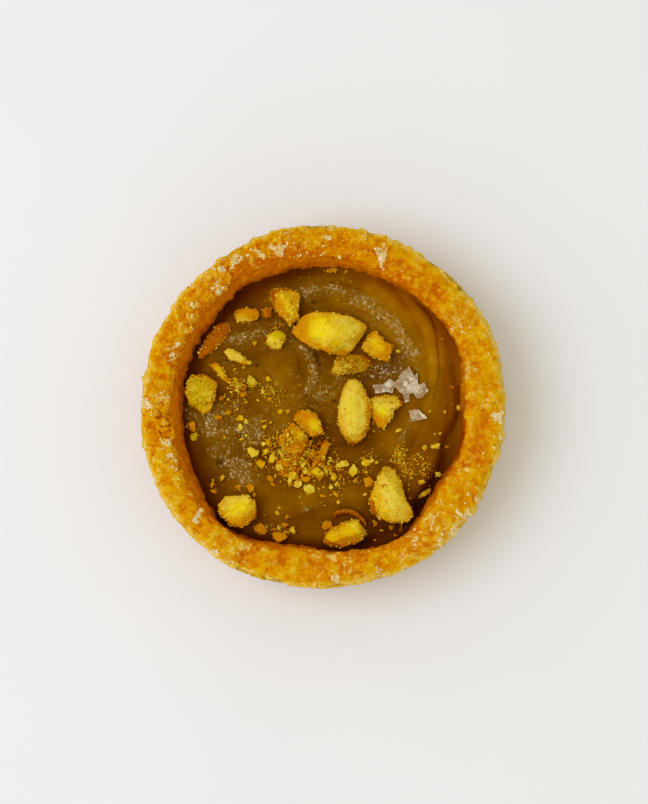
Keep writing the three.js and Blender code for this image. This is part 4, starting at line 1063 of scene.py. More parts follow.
# direction of the fibres that show as pale streaks, and how strongly
FIBRES = {"pistachio_shield": (55, 1.0), "pistachio_rough_block": (50, 0.9), "pistachio_cube": (20, 0.3), "pistachio_pear": (70, 0.25), "pistachio_skin_piece": (52, 0.5), "pistachio_wedge": (-60, 0.5), "pistachio_round_end": (30, 0.35), "pistachio_orange_sliver": (-51, 0.6), "pistachio_pale_sliver": (-27, 0.5), "pistachio_folded_slab": (60, 0.5), "pistachio_half_kernel": (8, 0.25), "pistachio_crumbly_piece": (70, 0.6), "pistachio_small_block": (20, 0.5), "pistachio_green_oval": (50, 0.4)}
BOXY = {"pistachio_half_kernel": 0.60, "pistachio_long_kernel": 0.62, "pistachio_round_end": 0.60, "pistachio_green_oval": 0.55, "pistachio_oval": 0.50, "pistachio_pale_sliver": 0.75, "pistachio_orange_sliver": 0.80, "pistachio_skin_piece": 0.6, "pistachio_small_block": 0.5, "pistachio_pear": 0.5}


def build_nut(spec, seed):
    name, kind, x, y, l, w, t, turn, pitch, roll, point, square, lift, cuts, stains = spec
    level = 6 if l > 6.5 else 5
    dirs, f = BALL[level]
    p = cake(dirs, OUTLINES[name], t, BOXY.get(name, 0.40), 0.14 if l * w < 22 or name == "pistachio_skin_piece" else 0.06)
    p, ridge = slice_off(p, [c for c in cuts if c[1] >= 45], 0)
    p, ridge2 = knife(p, np.random.default_rng(50 + seed), 2 if l * w < 22 else 4)
    ridge = np.maximum(ridge, ridge2)
    off = np.array([x, y, 0.0]) * 3
    n = vertex_normals(p, f)
    q = p + off
    thin = min(1.0, t / 3.0)
    lump = fbm(q, 2.4, 2, 200 + seed)
    mid = fbm(q, 0.9, 3, 230 + seed)
    warp = q + 0.25 * np.stack([vnoise(q, 0.7, 501 + k) for k in range(3)], -1)
    c1, c2, own = cells(warp, 0.75, 260 + seed)
    crumb = smooth((c2 - c1) / 0.45)
    steep_ = smooth((0.75 - n[:, 2]) / 0.5)
    rough = 0.22 + 0.40 * smooth(0.5 + 1.3 * vnoise(q, 2.2, 280 + seed)) + 0.45 * ridge + 0.45 * steep_
    fibre_dir, fibre = FIBRES.get(name, (0, 0.0))
    fa = math.radians(fibre_dir)
    lie = np.stack([(q[:, 0] * math.cos(fa) + q[:, 1] * math.sin(fa)) / 4.5, (-q[:, 0] * math.sin(fa) + q[:, 1] * math.cos(fa)) / 0.85, q[:, 2] / 2.0], -1)
    fibres = fbm(lie, 1.0, 2, 320 + seed)
    d = thin * (0.12 * lump + 0.10 * mid * rough + 0.13 * (crumb - 0.7) * (0.4 + 0.6 * own) * rough + 0.10 * fibre * fibres)
    p = p + n * d[:, None]
    near_edge = np.hypot(p[:, 0], p[:, 1]) / np.maximum(outline_reach(OUTLINES[name], np.arctan2(p[:, 1], p[:, 0])), 0.3)
    m = turn_matrix(roll, pitch, 0)
    world = p @ m.T
    zc = float(cream_height(np.array(x), np.array(y))) - SINK + t / 2 + lift
    world += np.array([x, y, zc])
    # keep off the wall of the crust
    th = np.arctan2(world[:, 1], world[:, 0])
    r = np.hypot(world[:, 0], world[:, 1])
    limit = hollow(th, world[:, 2]) - 0.12
    s = np.minimum(1, limit / np.maximum(r, 1e-6))
    world[:, 0] *= s
    world[:, 1] *= s
    wn = n @ m.T
    at = {k: np.zeros(len(world)) for k in STAINS}
    wob = 0.40 * fbm(q, 1.6, 2, 290 + seed)
    for what, direction, slope, start, soft in stains:
        a = unit(direction, slope)
        at[what] = np.maximum(at[what], smooth((p @ a - start) / soft + 0.5 + wob / max(soft, 0.5)))
    # the flanks near the cream are browner, where the papery skin still clings
    low = smooth((0.30 - wn[:, 2]) / 0.5) * smooth(0.5 + 1.1 * vnoise(q, 1.4, 300 + seed))
    toast = {"yellow": 0.62, "green": 0.70, "toasted": 0.9, "olive": 0.6, "skin": 0.30}[kind]
    rimmed = np.exp(-(((wn[:, 2] - 0.42) / 0.26) ** 2)) * smooth(0.5 + 1.2 * vnoise(q, 1.8, 306 + seed))
    band = smooth((near_edge - 0.86 - 0.10 * fbm(q, 0.9, 2, 309 + seed)) / 0.10) * smooth(0.62 + 1.3 * vnoise(q, 1.5, 311 + seed))
    at["skin"] = np.clip(np.maximum(np.maximum(at["skin"], 0.45 * low), 0.58 * rimmed) + 0.10 * (1 - crumb) * rough + 0.55 * toast * band, 0, 1)
    # darker orange towards the outline and on steep flanks: partly the browner outer kernel, partly painted shade
    # towards the edges
    at["deep"] = np.clip(at["deep"] + 0.85 * toast * smooth((near_edge - 0.58 - 0.16 * fbm(q, 2.4, 2, 313 + seed)) / 0.42), 0, 1)
    at["deep"] = np.clip(at["deep"] + 0.45 * smooth((0.60 - wn[:, 2]) / 0.5), 0, 1)
    at["pale"] = np.clip(at["pale"] + 0.45 * ridge * smooth(wn[:, 2] * 2), 0, 1) * (1 - 0.5 * at["skin"])
    at["fu"] = q[:, 0] * math.cos(fa) + q[:, 1] * math.sin(fa)
    at["fv"] = -q[:, 0] * math.sin(fa) + q[:, 1] * math.cos(fa) + 0.4 * q[:, 2]
    at["fibre"] = np.full(len(world), max(fibre, 0.22) * 0.8)
    at["tint"] = 0.5 * lump + 0.35 * mid
    # painted sheen: clearer yellow patches on the upward faces
    at["painted_sheen"] = np.zeros(len(world))
    for gx, gy, gl, gw, gturn, clear in SHEEN_PATCHES.get(name, ()):
        ga = math.radians(gturn)
        u_, v_ = (p[:, 0] - gx) * math.cos(ga) + (p[:, 1] - gy) * math.sin(ga), -(p[:, 0] - gx) * math.sin(ga) + (p[:, 1] - gy) * math.cos(ga)
        at["painted_sheen"] = np.maximum(at["painted_sheen"], clear * smooth(1.35 - np.hypot(u_ / gl, v_ / gw) - 0.30 * wob) * smooth(wn[:, 2] * 2.5 - 0.6))
    o = make_object(name + "_look", world, f, M_NUT[kind], at)
    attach(o, "root")
    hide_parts(name)
    BUDGET[o.name] = len(f)
    NUT_SURFACES.append((spec, world, wn, ridge))
    return o


for i, spec in enumerate(NUTS):
    build_nut(spec, i)

# ------------------------------------------------------------------ crumbs
rng = np.random.default_rng(7)


def shard(seed, lo=7, hi=12):
    """An angular splinter in a box of side 1: the hull of a few scattered corners."""
    r = np.random.default_rng(seed)
    bm = bmesh.new()
    p = r.normal(size=(r.integers(lo, hi), 3))
    p = p / np.linalg.norm(p, axis=1)[:, None] * r.uniform(0.7, 1.0, (len(p), 1))
    for c in p:
        bm.verts.new(c)
    bmesh.ops.convex_hull(bm, input=bm.verts)
    bmesh.ops.triangulate(bm, faces=bm.faces)
    for v in [v for v in bm.verts if not v.link_faces]:
        bm.verts.remove(v)
    bm.verts.index_update()
    v = np.array([x.co[:] for x in bm.verts])
    f = np.array([[x.index for x in q.verts] for q in bm.faces], np.int32)
    bm.free()
    v = (v - (v.max(0) + v.min(0)) / 2) / (v.max(0) - v.min(0))
    if np.einsum("ij,ij->i", v[f[:, 0]], np.cross(v[f[:, 1]], v[f[:, 2]])).sum() < 0:
        f = f[:, ::-1]
    return v, f


SHARDS = [shard(4000 + k) for k in range(48)]


class Heap:
    """Many small chips joined in one mesh."""

    def __init__(self):
        self.v, self.f, self.a, self.count = [], [], [], 0

    def put(self, p, f, tint, skin=0.0, pale=0.0, deep=0.0, green=0.0, speckle=0.3):
        self.v.append(p)
        self.f.append(f + self.count)
        self.a.append(np.stack([np.broadcast_to(float(c) if np.ndim(c) == 0 else c, len(p)) for c in (skin, pale, deep, green, speckle, tint)], -1))
        self.count += len(p)

    def splinter(self, centre, size, turn=None, tilt=28.0, **look):
        v, f = SHARDS[rng.integers(len(SHARDS))]
        m = turn_matrix(rng.normal() * tilt, rng.normal() * tilt, rng.uniform(0, 360) if turn is None else turn)
        if not look:
            k = rng.random()
            look = {"pale": 0.9 * (k > 0.72), "deep": 0.9 * (k < 0.30), "skin": 0.8 * (0.62 < k < 0.70)}
        self.put((v * np.asarray(size)) @ m.T + np.asarray(centre), f, rng.uniform(-1.3, 1.3), **look)

    def chip(self, centre, size, turn, level=4, tilt=9.0, cuts=4, **look):
        dirs, f = BALL[level]
        l, w, t = size
        k = rng.integers(5, 8)
        ang = (np.arange(k) + rng.uniform(-0.32, 0.32, k)) / k * 2 * np.pi
        rr = rng.uniform(0.82, 1.12, k)
        pts = np.stack([l / 2 * rr * np.cos(ang), w / 2 * rr * np.sin(ang)], -1)
        p = cake(dirs, pts, t, rng.uniform(0.34, 0.50), 0.06)
        p, ridge = knife(p, rng, cuts, 0.62, 0.92, (15, 80), 0.03)
        q = p + rng.uniform(0, 500, 3)
        n = vertex_normals(p, f)
        k = min(w, l) / 3
        h = fbm(q, 0.9, 3, 611)
        p = p + n * (0.16 * k * h + 0.09 * k * fbm(q, 0.4, 2, 617))[:, None]
        m = turn_matrix(rng.normal() * tilt, rng.normal() * tilt, turn)
        look.setdefault("speckle", 0.15)
        wz = (n @ m.T)[:, 2]
        low = smooth(0.15 - wz + 0.5 * h)
        skin = np.clip(look.pop("skin", 0.0) + 0.45 * low, 0, 1)
        pale = np.clip(look.pop("pale", 0.0) * (0.7 + 0.6 * h) + 0.55 * ridge * (wz > 0.1), 0, 1)
        self.put(p @ m.T + np.asarray(centre), f, rng.uniform(-0.8, 0.8), skin=skin, pale=pale, **look)

    def blob(self, centre, size, **look):
        """A soft crumb of dough."""
        dirs, f = BALL[3]
        q = dirs + rng.uniform(0, 500, 3)
        p = dirs * np.asarray(size) / 2 * (1 + 0.22 * fbm(q, 0.9, 2, 641))[:, None]
        m = turn_matrix(rng.normal() * 25, rng.normal() * 25, rng.uniform(0, 360))
        self.put(p @ m.T + np.asarray(centre), f, rng.uniform(-1, 1), **look)

    def build(self, name, material, slot, flat=True):
        v, f, a = np.vstack(self.v), np.vstack(self.f), np.vstack(self.a)
        names = ("skin", "pale", "deep", "green", "speckle", "tint")
        o = make_object(name, v, f, material, {k: a[:, i] for i, k in enumerate(names)}, flat=flat)
        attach(o, "root")
        BUDGET[o.name] = len(f)
        return o


KINDS = ("yellow", "green", "toasted", "skin", "olive")
chips = {k: Heap() for k in KINDS}
crumbs = {k: Heap() for k in KINDS}


def on_cream(x, y, lift=0.0):
    x, y = np.array([float(x)]), np.array([float(y)])
    return float((cream_height(x, y) + cream_relief(x, y))[0]) + lift


# single chips: kind, x, y, length, width, thickness, turn, look
P_, D_, S_, G_, N_ = {"pale": 0.9}, {"deep": 0.9}, {"skin": 0.8}, {"green": 0.8}, {}
CHIPS = [
    ("toasted", -11.1, 18.9, 2.8, 2.6, 1.7, 0, S_), ("green", -14.3, 5.3, 3.2, 2.2, 1.2, -50, P_), ("yellow", -17.3, 4.9, 2.6, 2.4, 1.3, 0, N_), ("yellow", -15.9, 2.9, 2.0, 1.8, 1.1, 20, D_),
    ("toasted", -25.9, -3.7, 3.2, 1.4, 1.0, 98, D_), ("olive", -25.6, -5.7, 2.0, 1.6, 0.4, 70, G_), ("yellow", -13.9, -8.9, 2.8, 2.6, 1.1, -50, P_), ("yellow", -12.3, -11.2, 2.4, 1.8, 1.0, -40, N_),
    ("toasted", -10.9, -6.9, 1.8, 1.2, 1.1, 100, N_), ("yellow", -11.8, -7.2, 1.2, 1.0, 1.0, 20, P_), ("yellow", -11.2, -8.7, 1.6, 1.2, 1.1, 30, N_), ("yellow", -10.1, -10.0, 2.8, 1.4, 1.1, 72, N_),
    ("yellow", -8.1, -9.3, 2.0, 1.0, 1.4, 105, P_), ("yellow", -8.7, -11.8, 1.8, 1.4, 1.0, 60, P_), ("toasted", -7.4, -11.0, 3.0, 1.6, 1.0, -48, D_), ("yellow", -5.6, -9.5, 2.0, 0.6, 1.6, 95, P_),
    ("yellow", -4.6, -9.7, 1.6, 1.0, 1.3, -40, P_), ("yellow", -3.8, -11.2, 2.4, 0.8, 1.4, 58, P_), ("yellow", -5.4, -11.2, 1.2, 1.2, 1.2, 10, P_), ("yellow", -6.0, -13.4, 2.8, 1.6, 1.0, 58, N_),
    ("yellow", -6.6, -14.6, 1.2, 0.8, 0.8, 80, P_), ("toasted", -7.3, -13.0, 2.4, 1.2, 0.7, -58, D_), ("yellow", -5.0, -15.2, 1.8, 1.6, 1.1, 35, P_), ("green", -2.8, -16.2, 2.6, 2.2, 0.6, -30, P_),
    ("toasted", -3.4, -14.2, 2.2, 1.2, 0.7, 0, D_), ("yellow", -1.4, -12.8, 2.6, 2.2, 1.2, 20, N_), ("yellow", -0.4, -13.0, 1.6, 0.8, 1.2, -20, P_), ("toasted", -1.8, -11.2, 2.6, 1.0, 1.1, 38, D_),
    ("yellow", -3.4, -12.8, 1.2, 1.0, 1.2, 0, P_), ("green", 0.5, -12.4, 2.6, 0.6, 0.8, -62, N_), ("yellow", 2.1, -13.8, 1.8, 1.2, 1.1, 88, N_), ("yellow", 2.7, -15.2, 1.4, 0.6, 1.0, 62, P_),
    ("green", 1.6, -15.8, 1.2, 1.0, 0.7, 30, P_), ("toasted", 2.5, -17.2, 2.0, 0.8, 0.6, -42, N_), ("yellow", -0.1, -17.5, 1.0, 0.8, 0.6, 30, N_), ("yellow", 3.0, -18.8, 0.8, 0.8, 0.5, 0, P_),
    ("toasted", -10.5, -14.0, 2.0, 1.2, 0.5, -28, D_), ("toasted", -10.1, -15.2, 1.2, 0.8, 0.4, -40, D_), ("toasted", 0.4, -7.9, 3.5, 1.8, 1.7, 76, D_), ("toasted", -0.0, -9.7, 1.2, 1.0, 1.0, 60, N_),
    ("skin", -1.6, -8.7, 2.0, 1.0, 0.8, -20, D_), ("yellow", 3.9, -11.2, 3.0, 1.6, 1.3, 8, P_), ("yellow", 6.0, -12.6, 2.8, 1.8, 1.3, 80, N_), ("yellow", 6.5, -14.4, 1.2, 1.0, 0.8, 60, D_),
    ("yellow", 8.5, -11.0, 2.2, 1.6, 1.2, 6, N_), ("yellow", 9.7, -10.6, 1.2, 0.8, 1.0, 30, P_), ("yellow", 10.7, -10.9, 0.8, 0.8, 0.8, 0, P_), ("yellow", 8.6, -12.8, 0.8, 0.6, 0.6, 0, P_),
    ("green", 9.0, -14.7, 2.8, 2.4, 1.0, -30, D_), ("yellow", 8.3, -17.2, 1.0, 0.6, 0.6, 30, P_), ("toasted", -19.5, -5.9, 0.9, 0.9, 0.8, 0, N_), ("skin", -16.7, -5.7, 0.8, 0.6, 0.6, 60, S_),
    ("yellow", -16.2, -6.3, 0.7, 0.6, 0.5, 0, N_), ("yellow", -15.3, -5.5, 0.6, 0.5, 0.5, 0, P_), ("toasted", -20.0, -14.0, 1.8, 1.0, 0.9, 58, N_), ("toasted", -14.3, -15.9, 2.8, 2.0, 1.0, -52, D_),
    ("toasted", -13.6, -17.4, 1.0, 0.8, 0.6, 60, D_), ("olive", -16.9, -15.9, 1.2, 1.2, 0.4, 0, D_), ("yellow", -8.5, -0.7, 1.3, 1.0, 0.9, 20, N_), ("toasted", -7.0, -0.8, 0.9, 0.9, 0.8, 60, N_),
    ("yellow", -11.9, -2.7, 1.0, 0.6, 0.6, 0, D_), ("yellow", -11.6, -3.8, 1.2, 1.0, 0.8, 60, N_), ("toasted", -10.4, -2.9, 0.6, 0.6, 0.5, 0, N_), ("toasted", -18.8, -1.0, 1.4, 0.9, 0.8, 10, D_),
    ("yellow", -17.0, -0.3, 0.7, 0.6, 0.6, 30, N_), ("yellow", -16.5, -2.1, 1.6, 1.4, 1.1, 60, N_), ("yellow", -16.5, -3.9, 1.8, 1.0, 0.9, 80, P_), ("yellow", -15.3, -2.7, 1.6, 0.6, 0.7, -65, P_),
    ("toasted", -20.8, -1.9, 1.8, 0.8, 0.5, 0, D_), ("toasted", -21.6, -16.6, 1.6, 1.2, 0.6, -10, D_), ("toasted", -22.0, -15.4, 1.8, 0.8, 0.6, 75, D_), ("toasted", -21.8, -14.4, 0.6, 0.6, 0.5, 0, N_),
    ("olive", -12.5, -24.1, 3.3, 2.4, 1.3, -28, D_), ("yellow", -8.7, -25.5, 3.5, 2.6, 1.4, -15, D_), ("toasted", -6.0, -24.3, 1.8, 1.4, 1.2, -30, N_), ("toasted", -7.6, -23.3, 1.2, 1.0, 0.8, 20, D_),
    ("toasted", -9.1, -20.9, 1.2, 0.8, 0.6, -30, N_), ("toasted", -7.1, -21.7, 1.0, 0.8, 0.6, 60, N_), ("toasted", -8.8, -19.8, 0.6, 0.5, 0.4, 0, D_), ("toasted", 0.9, -23.3, 2.2, 2.0, 0.7, 30, D_),
    ("yellow", 22.3, -7.7, 2.0, 1.5, 1.2, 10, N_), ("toasted", 20.2, -8.0, 1.3, 1.2, 1.0, 0, N_), ("toasted", 24.6, -7.7, 1.0, 0.6, 0.5, 0, D_), ("yellow", 14.9, -4.5, 1.6, 0.8, 0.7, 20, P_),
    ("yellow", 24.2, -0.8, 0.8, 0.8, 0.6, 60, N_), ("toasted", 21.2, -0.7, 0.8, 0.6, 0.5, 30, N_), ("yellow", 27.0, 0.1, 1.3, 1.1, 0.9, 60, P_), ("yellow", 23.2, -5.1, 0.6, 0.6, 0.4, 0, P_),
    ("toasted", 22.2, -5.3, 0.6, 0.4, 0.4, 40, N_), ("yellow", 23.0, -13.2, 1.6, 0.9, 0.6, -22, P_), ("yellow", 19.5, -14.8, 1.8, 1.2, 0.8, 15, N_), ("toasted", 20.2, -17.0, 3.7, 1.1, 0.9, 35, N_),
    ("toasted", 17.0, -16.2, 0.6, 0.6, 0.4, 0, D_), ("olive", 17.2, -18.0, 0.9, 0.8, 0.5, 0, D_), ("olive", 17.4, -13.2, 2.0, 0.8, 0.5, 48, D_), ("toasted", 13.6, -23.7, 1.5, 1.2, 0.7, 80, D_),
    ("olive", 10.3, -22.9, 1.7, 1.0, 0.5, -50, D_), ("toasted", 11.7, -24.3, 0.8, 0.6, 0.5, 0, N_), ("olive", 14.3, -25.3, 0.8, 0.6, 0.4, 30, D_), ("olive", 10.3, -26.3, 0.7, 0.6, 0.4, 0, D_),
    ("olive", 15.4, -24.3, 0.6, 0.6, 0.4, 0, N_), ("toasted", 1.8, 27.4, 3.0, 1.0, 0.8, 10, N_), ("toasted", 4.6, 27.2, 0.9, 0.8, 0.7, 0, D_), ("yellow", 3.0, 21.4, 0.6, 0.5, 0.4, 0, D_),
    ("green", 14.9, 11.2, 1.2, 0.9, 0.8, -20, P_), ("yellow", 10.1, 19.0, 0.8, 0.6, 0.4, 40, D_), ("skin", 23.8, 13.8, 0.8, 0.6, 0.5, 30, D_), ("toasted", 25.8, 4.1, 0.8, 0.5, 0.5, 10, D_),
    ("skin", 25.2, 9.2, 0.5, 0.4, 0.3, 0, N_), ("yellow", -13.5, 12.8, 1.4, 0.6, 0.6, 60, D_), ("green", -9.4, 15.9, 1.2, 0.5, 0.6, -30, N_), ("olive", -8.4, 16.6, 1.4, 0.5, 0.5, -30, D_),
    ("toasted", -15.7, 8.0, 1.1, 0.6, 0.6, 80, N_), ("olive", -17.3, 6.8, 0.8, 0.6, 0.5, 0, N_), ("olive", -17.7, 7.5, 0.8, 0.6, 0.4, 20, D_), ("yellow", -14.8, 8.9, 1.2, 0.8, 0.8, -20, P_),
    ("yellow", -10.9, 5.7, 1.3, 1.0, 0.8, 75, N_), ("green", -12.0, 3.3, 1.3, 1.0, 0.9, -60, P_), ("olive", -9.9, 3.1, 1.8, 0.5, 0.5, -40, N_), ("yellow", -10.6, 1.7, 1.1, 0.8, 0.5, 60, D_),
    ("toasted", -20.2, 1.9, 1.6, 1.2, 0.6, -10, D_), ("toasted", -18.9, 1.7, 0.8, 0.8, 0.5, 0, N_), ("yellow", -15.3, 1.1, 0.8, 0.6, 0.5, 30, N_), ("yellow", -13.0, 1.5, 0.8, 0.4, 0.4, -70, P_),
]
for kind, x, y, l, w, t, turn, look in CHIPS:
    chips[kind].chip((x, y, on_cream(x, y, t * 0.26)), (l, w, t), turn, level=4 if l > 1.7 else 3, **look)
    # splinters that cling to the chip
    for _ in range(int(2 + 2.2 * l)):
        s_ = rng.uniform(0.14, 0.42)
        a_ = rng.uniform(0, 2 * np.pi)
        reach_ = rng.uniform(0.5, 1.05)
        crumbs[kind].splinter((x + l / 2 * reach_ * math.cos(a_), y + w / 2 * reach_ * math.sin(a_), on_cream(x, y, t * rng.uniform(0.1, 0.7))), (s_ * 1.5, s_, s_ * 0.7), tilt=50)

# loose clusters: x, y, spread x, spread y, how many, smallest, largest, kinds
CLUSTERS = [
    (-4.4, -9.6, 3.4, 2.2, 260, 0.25, 1.5, ("yellow", "toasted", "toasted", "toasted", "skin")),
    (-6.6, -11.8, 2.6, 2.4, 200, 0.25, 1.5, ("yellow", "toasted", "toasted", "skin")),
    (-2.6, -12.0, 2.4, 2.4, 120, 0.25, 1.3, ("yellow", "toasted", "toasted", "skin")),
    (-9.6, -7.6, 2.4, 2.4, 100, 0.2, 1.0, ("yellow", "yellow", "toasted")),
    (1.2, -12.0, 3.0, 2.2, 110, 0.18, 0.9, ("yellow", "toasted", "olive")),
    (-16.2, 4.4, 2.0, 1.5, 130, 0.18, 0.6, ("yellow", "yellow", "toasted", "green")),
    (-10.6, 3.4, 1.8, 1.7, 120, 0.14, 0.5, ("green", "yellow", "yellow")),
    (-8.6, 0.6, 1.4, 2.4, 40, 0.14, 0.4, ("yellow", "green")),
    (-18.2, 1.4, 3.0, 2.2, 60, 0.16, 0.6, ("toasted", "toasted", "olive")),
    (15.2, -9.6, 1.5, 2.4, 330, 0.13, 0.45, ("yellow", "yellow", "green", "toasted")),
    (16.2, -12.8, 1.6, 1.6, 120, 0.14, 0.5, ("toasted", "olive", "yellow")),
    (18.8, -10.6, 2.0, 1.7, 110, 0.14, 0.5, ("yellow", "toasted", "olive")),
    (20.2, -12.6, 2.4, 1.8, 80, 0.16, 0.6, ("yellow", "toasted", "olive")),
    (9.2, -10.2, 1.6, 1.4, 50, 0.16, 0.6, ("yellow", "yellow")),
    (7.0, -12.4, 2.6, 2.2, 50, 0.15, 0.5, ("yellow", "toasted")),
    (3.4, -15.0, 3.0, 2.2, 60, 0.15, 0.55, ("toasted", "olive", "yellow")),
    (-0.4, -18.0, 4.4, 2.2, 30, 0.14, 0.4, ("toasted", "olive")),
    (-10.6, 21.4, 1.2, 1.4, 18, 0.2, 0.7, ("toasted", "yellow")),
    (-5.4, 16.6, 1.8, 1.3, 40, 0.16, 0.6, ("yellow", "green", "toasted")),
    (-9.2, 15.8, 1.4, 0.8, 26, 0.16, 0.5, ("green", "olive")),
    (-14.0, -9.6, 3.4, 3.2, 40, 0.16, 0.6, ("toasted", "yellow")),
    (-9.0, -24.2, 3.4, 1.4, 70, 0.18, 0.8, ("toasted", "olive", "green")),
    (14.0, -21.6, 4.0, 1.8, 60, 0.16, 0.5, ("toasted", "skin", "olive")),
    (9.8, -1.0, 1.4, 4.0, 60, 0.14, 0.45, ("yellow", "toasted")),
    (8.6, 7.6, 1.6, 1.2, 36, 0.14, 0.45, ("olive", "toasted")),
    (0.4, -6.6, 2.6, 1.8, 40, 0.16, 0.6, ("toasted", "skin", "yellow")),
    (-3.8, 26.4, 1.4, 0.6, 10, 0.2, 0.6, ("toasted",)),
    (6.0, 25.4, 5.0, 1.4, 22, 0.14, 0.4, ("toasted", "yellow")),
    (22.4, 3.4, 2.0, 5.0, 40, 0.12, 0.32, ("toasted", "yellow")),
    (-6.0, -16.0, 8.0, 4.0, 60, 0.12, 0.4, ("toasted", "yellow", "olive")),
    (0.0, 0.0, 17.0, 17.0, 330, 0.11, 0.36, ("yellow", "toasted", "olive", "toasted")),
]
for x, y, sx, sy, count, lo, hi, kinds in CLUSTERS:
    px, py = x + rng.normal(size=count) * sx * 0.55, y + rng.normal(size=count) * sy * 0.55
    ok = np.hypot(px, py) < 26.4
    px, py = px[ok], py[ok]
    base = cream_height(px, py) + cream_relief(px, py)
    for cx, cy, cz in zip(px, py, base):
        s = lo + (hi - lo) * rng.random() ** 2.4
        t = s * rng.uniform(0.45, 0.8)
        crumbs[kinds[rng.integers(len(kinds))]].splinter((cx, cy, cz + t * 0.3), (s * rng.uniform(1.0, 1.8), s * rng.uniform(0.6, 1.0), t))

# crumbs that cling to the nuts, most of all along their edges
for spec, world, wn, ridge in NUT_SURFACES:
    kind, l, w = spec[1], spec[4], spec[5]
    weight = np.where(wn[:, 2] > -0.3, 0.05 + 0.9 * ridge + 1.2 * np.exp(-(((wn[:, 2] - 0.25) / 0.3) ** 2)), 0.0) * (world[:, 2] > world[:, 2].min() + 0.9)
    if weight.sum() == 0:
        continue
    for k in rng.choice(len(world), int(2.6 * l * w * CLING.get(spec[0], 1.0)), replace=False, p=weight / weight.sum()):
        s = 0.17 + 0.34 * rng.random() ** 2.4
        c = world[k] + wn[k] * s * 0.10
        heap = crumbs["yellow" if kind == "yellow" or rng.random() < 0.45 else kind]
        draw = rng.random()
        brown = 0.985 if kind == "yellow" else 0.90
        look = {"pale": 1.0} if draw < (0.88 if kind == "yellow" else 0.62) else {"deep": 0.9} if draw < brown else {"skin": 0.7}
        heap.splinter(c, (s * rng.uniform(1.0, 1.7), s, s * 0.75), tilt=60, **look)

# loose grains on the browned chunk and the small clump at the left, heaped up
for cx, cy, cz, sx, sy, n in ((-6.6, -6.6, 18.3, 1.7, 1.5, 110), (-4.4, -9.0, 16.9, 2.2, 1.2, 110), (-16.9, 4.2, 16.9, 1.5, 1.2, 150)):
    for _ in range(n):
        s = 0.16 + 0.5 * rng.random() ** 2
        draw = rng.random()
        look = {"pale": 1.0} if draw < 0.45 else {"deep": 0.9} if draw < 0.72 else {"skin": 1.0} if draw < 0.90 else {"pale": 0.0}
        crumbs["yellow" if rng.random() < 0.6 else "toasted"].splinter((cx + rng.normal() * sx * 0.55, cy + rng.normal() * sy * 0.55, cz - 0.35 * abs(rng.normal())), (s * 1.5, s, s * 0.7), tilt=50, **look)


def ribbon(heap, pts, width, thick, lean, **look):
    """A curled strip of papery skin standing on edge along the given points."""
    pts = np.array(rounded([tuple(p) for p in pts], 3))
    seg = np.gradient(pts, axis=0)
    seg /= np.linalg.norm(seg[:, :2], axis=1)[:, None]
    side = np.stack([-seg[:, 1], seg[:, 0], 0 * seg[:, 0]], -1)
    up = np.array([0, 0, 1.0])
    rows = []
    k = len(pts)
    taper = np.minimum(1, np.minimum(np.arange(k), np.arange(k)[::-1]) / (0.2 * k) + 0.25)
    wave = 0.12 * np.sin(np.arange(k) * 0.9) + 0.08 * rng.normal(size=k)
    for a, b in ((0, -0.5), (0, 0.5), (1, 0.5), (1, -0.5)):
        rows.append(pts + side * (b * thick + lean * a * width * taper)[:, None] + up * ((a * width * (1 - 0.35 * abs(lean)) + wave * a) * taper)[:, None])
    p = np.stack(rows, 1).reshape(-1, 3)
    quads = []
    for i in range(k - 1):
        for j in range(4):
            a, b = i * 4 + j, i * 4 + (j + 1) % 4
            quads.append((a, b, b + 4, a + 4))
    quads = np.array(quads)
    end = (k - 1) * 4
    f = np.concatenate([quads[:, [0, 1, 2]], quads[:, [0, 2, 3]], [[0, 2, 1], [0, 3, 2]], [[end, end + 1, end + 2], [end, end + 2, end + 3]]])
    if np.einsum("ij,ij->i", p[f[:, 0]] - p.mean(0), np.cross(p[f[:, 1]] - p.mean(0), p[f[:, 2]] - p.mean(0))).sum() < 0:
        f = f[:, ::-1]
    heap.put(p, f, 0.0, **look)


def strip(pts, lift=0.0):
    return [(x, y, on_cream(x, y, lift)) for x, y in pts]


# papery skins: one arched over the small nut at the front, a curled ring by the browned chunk, shreds
ribbon(chips["skin"], strip([(2.2, -21.9), (3.6, -21.3), (5.4, -21.2), (6.9, -22.3), (8.0, -24.0)], 0.5), 1.1, 0.22, 0.9, deep=0.5, speckle=0.4)
ribbon(chips["toasted"], strip([(0.6, -6.2), (1.3, -7.0), (1.0, -8.6), (-0.2, -9.6), (-1.4, -9.4)], 0.1), 1.3, 0.30, -0.7, deep=0.8, speckle=0.8)
ribbon(chips["skin"], strip([(-1.6, -8.6), (-0.9, -7.6), (0.1, -7.4)], 0.1), 1.0, 0.26, 0.6, deep=0.5, speckle=0.6)
ribbon(chips["toasted"], strip([(-7.6, -10.4), (-6.4, -10.0), (-5.2, -10.9)], 0.3), 0.9, 0.25, 0.8, deep=0.9, speckle=0.5)
ribbon(chips["skin"], strip([(14.6, -22.4), (15.4, -23.2), (15.2, -24.0)], 0.1), 0.8, 0.22, 0.5, deep=0.5, speckle=0.6)

for kind in KINDS:
    if chips[kind].count:
        chips[kind].build("chips_" + kind, M_NUT[kind], SLOT[kind], flat=False)
    if crumbs[kind].count:
        crumbs[kind].build("crumbs_" + kind, M_NUT[kind], SLOT[kind])


# ------------------------------------------------------------------ crumbs and sugar on the rim
def rim_spot(angle, radius):
    j = int(round(angle / 360 * AROUND)) % AROUND
    rings = np.nonzero((CRUST_T[:, 0] > 4.4) & (CRUST_T[:, 0] < 10.6))[0]
    r = np.hypot(CRUST_P[rings, j, 0], CRUST_P[rings, j, 1])
    k = rings[np.argmin(np.abs(r - radius))]
    return CRUST_P[k, j], CRUST_N[k, j]


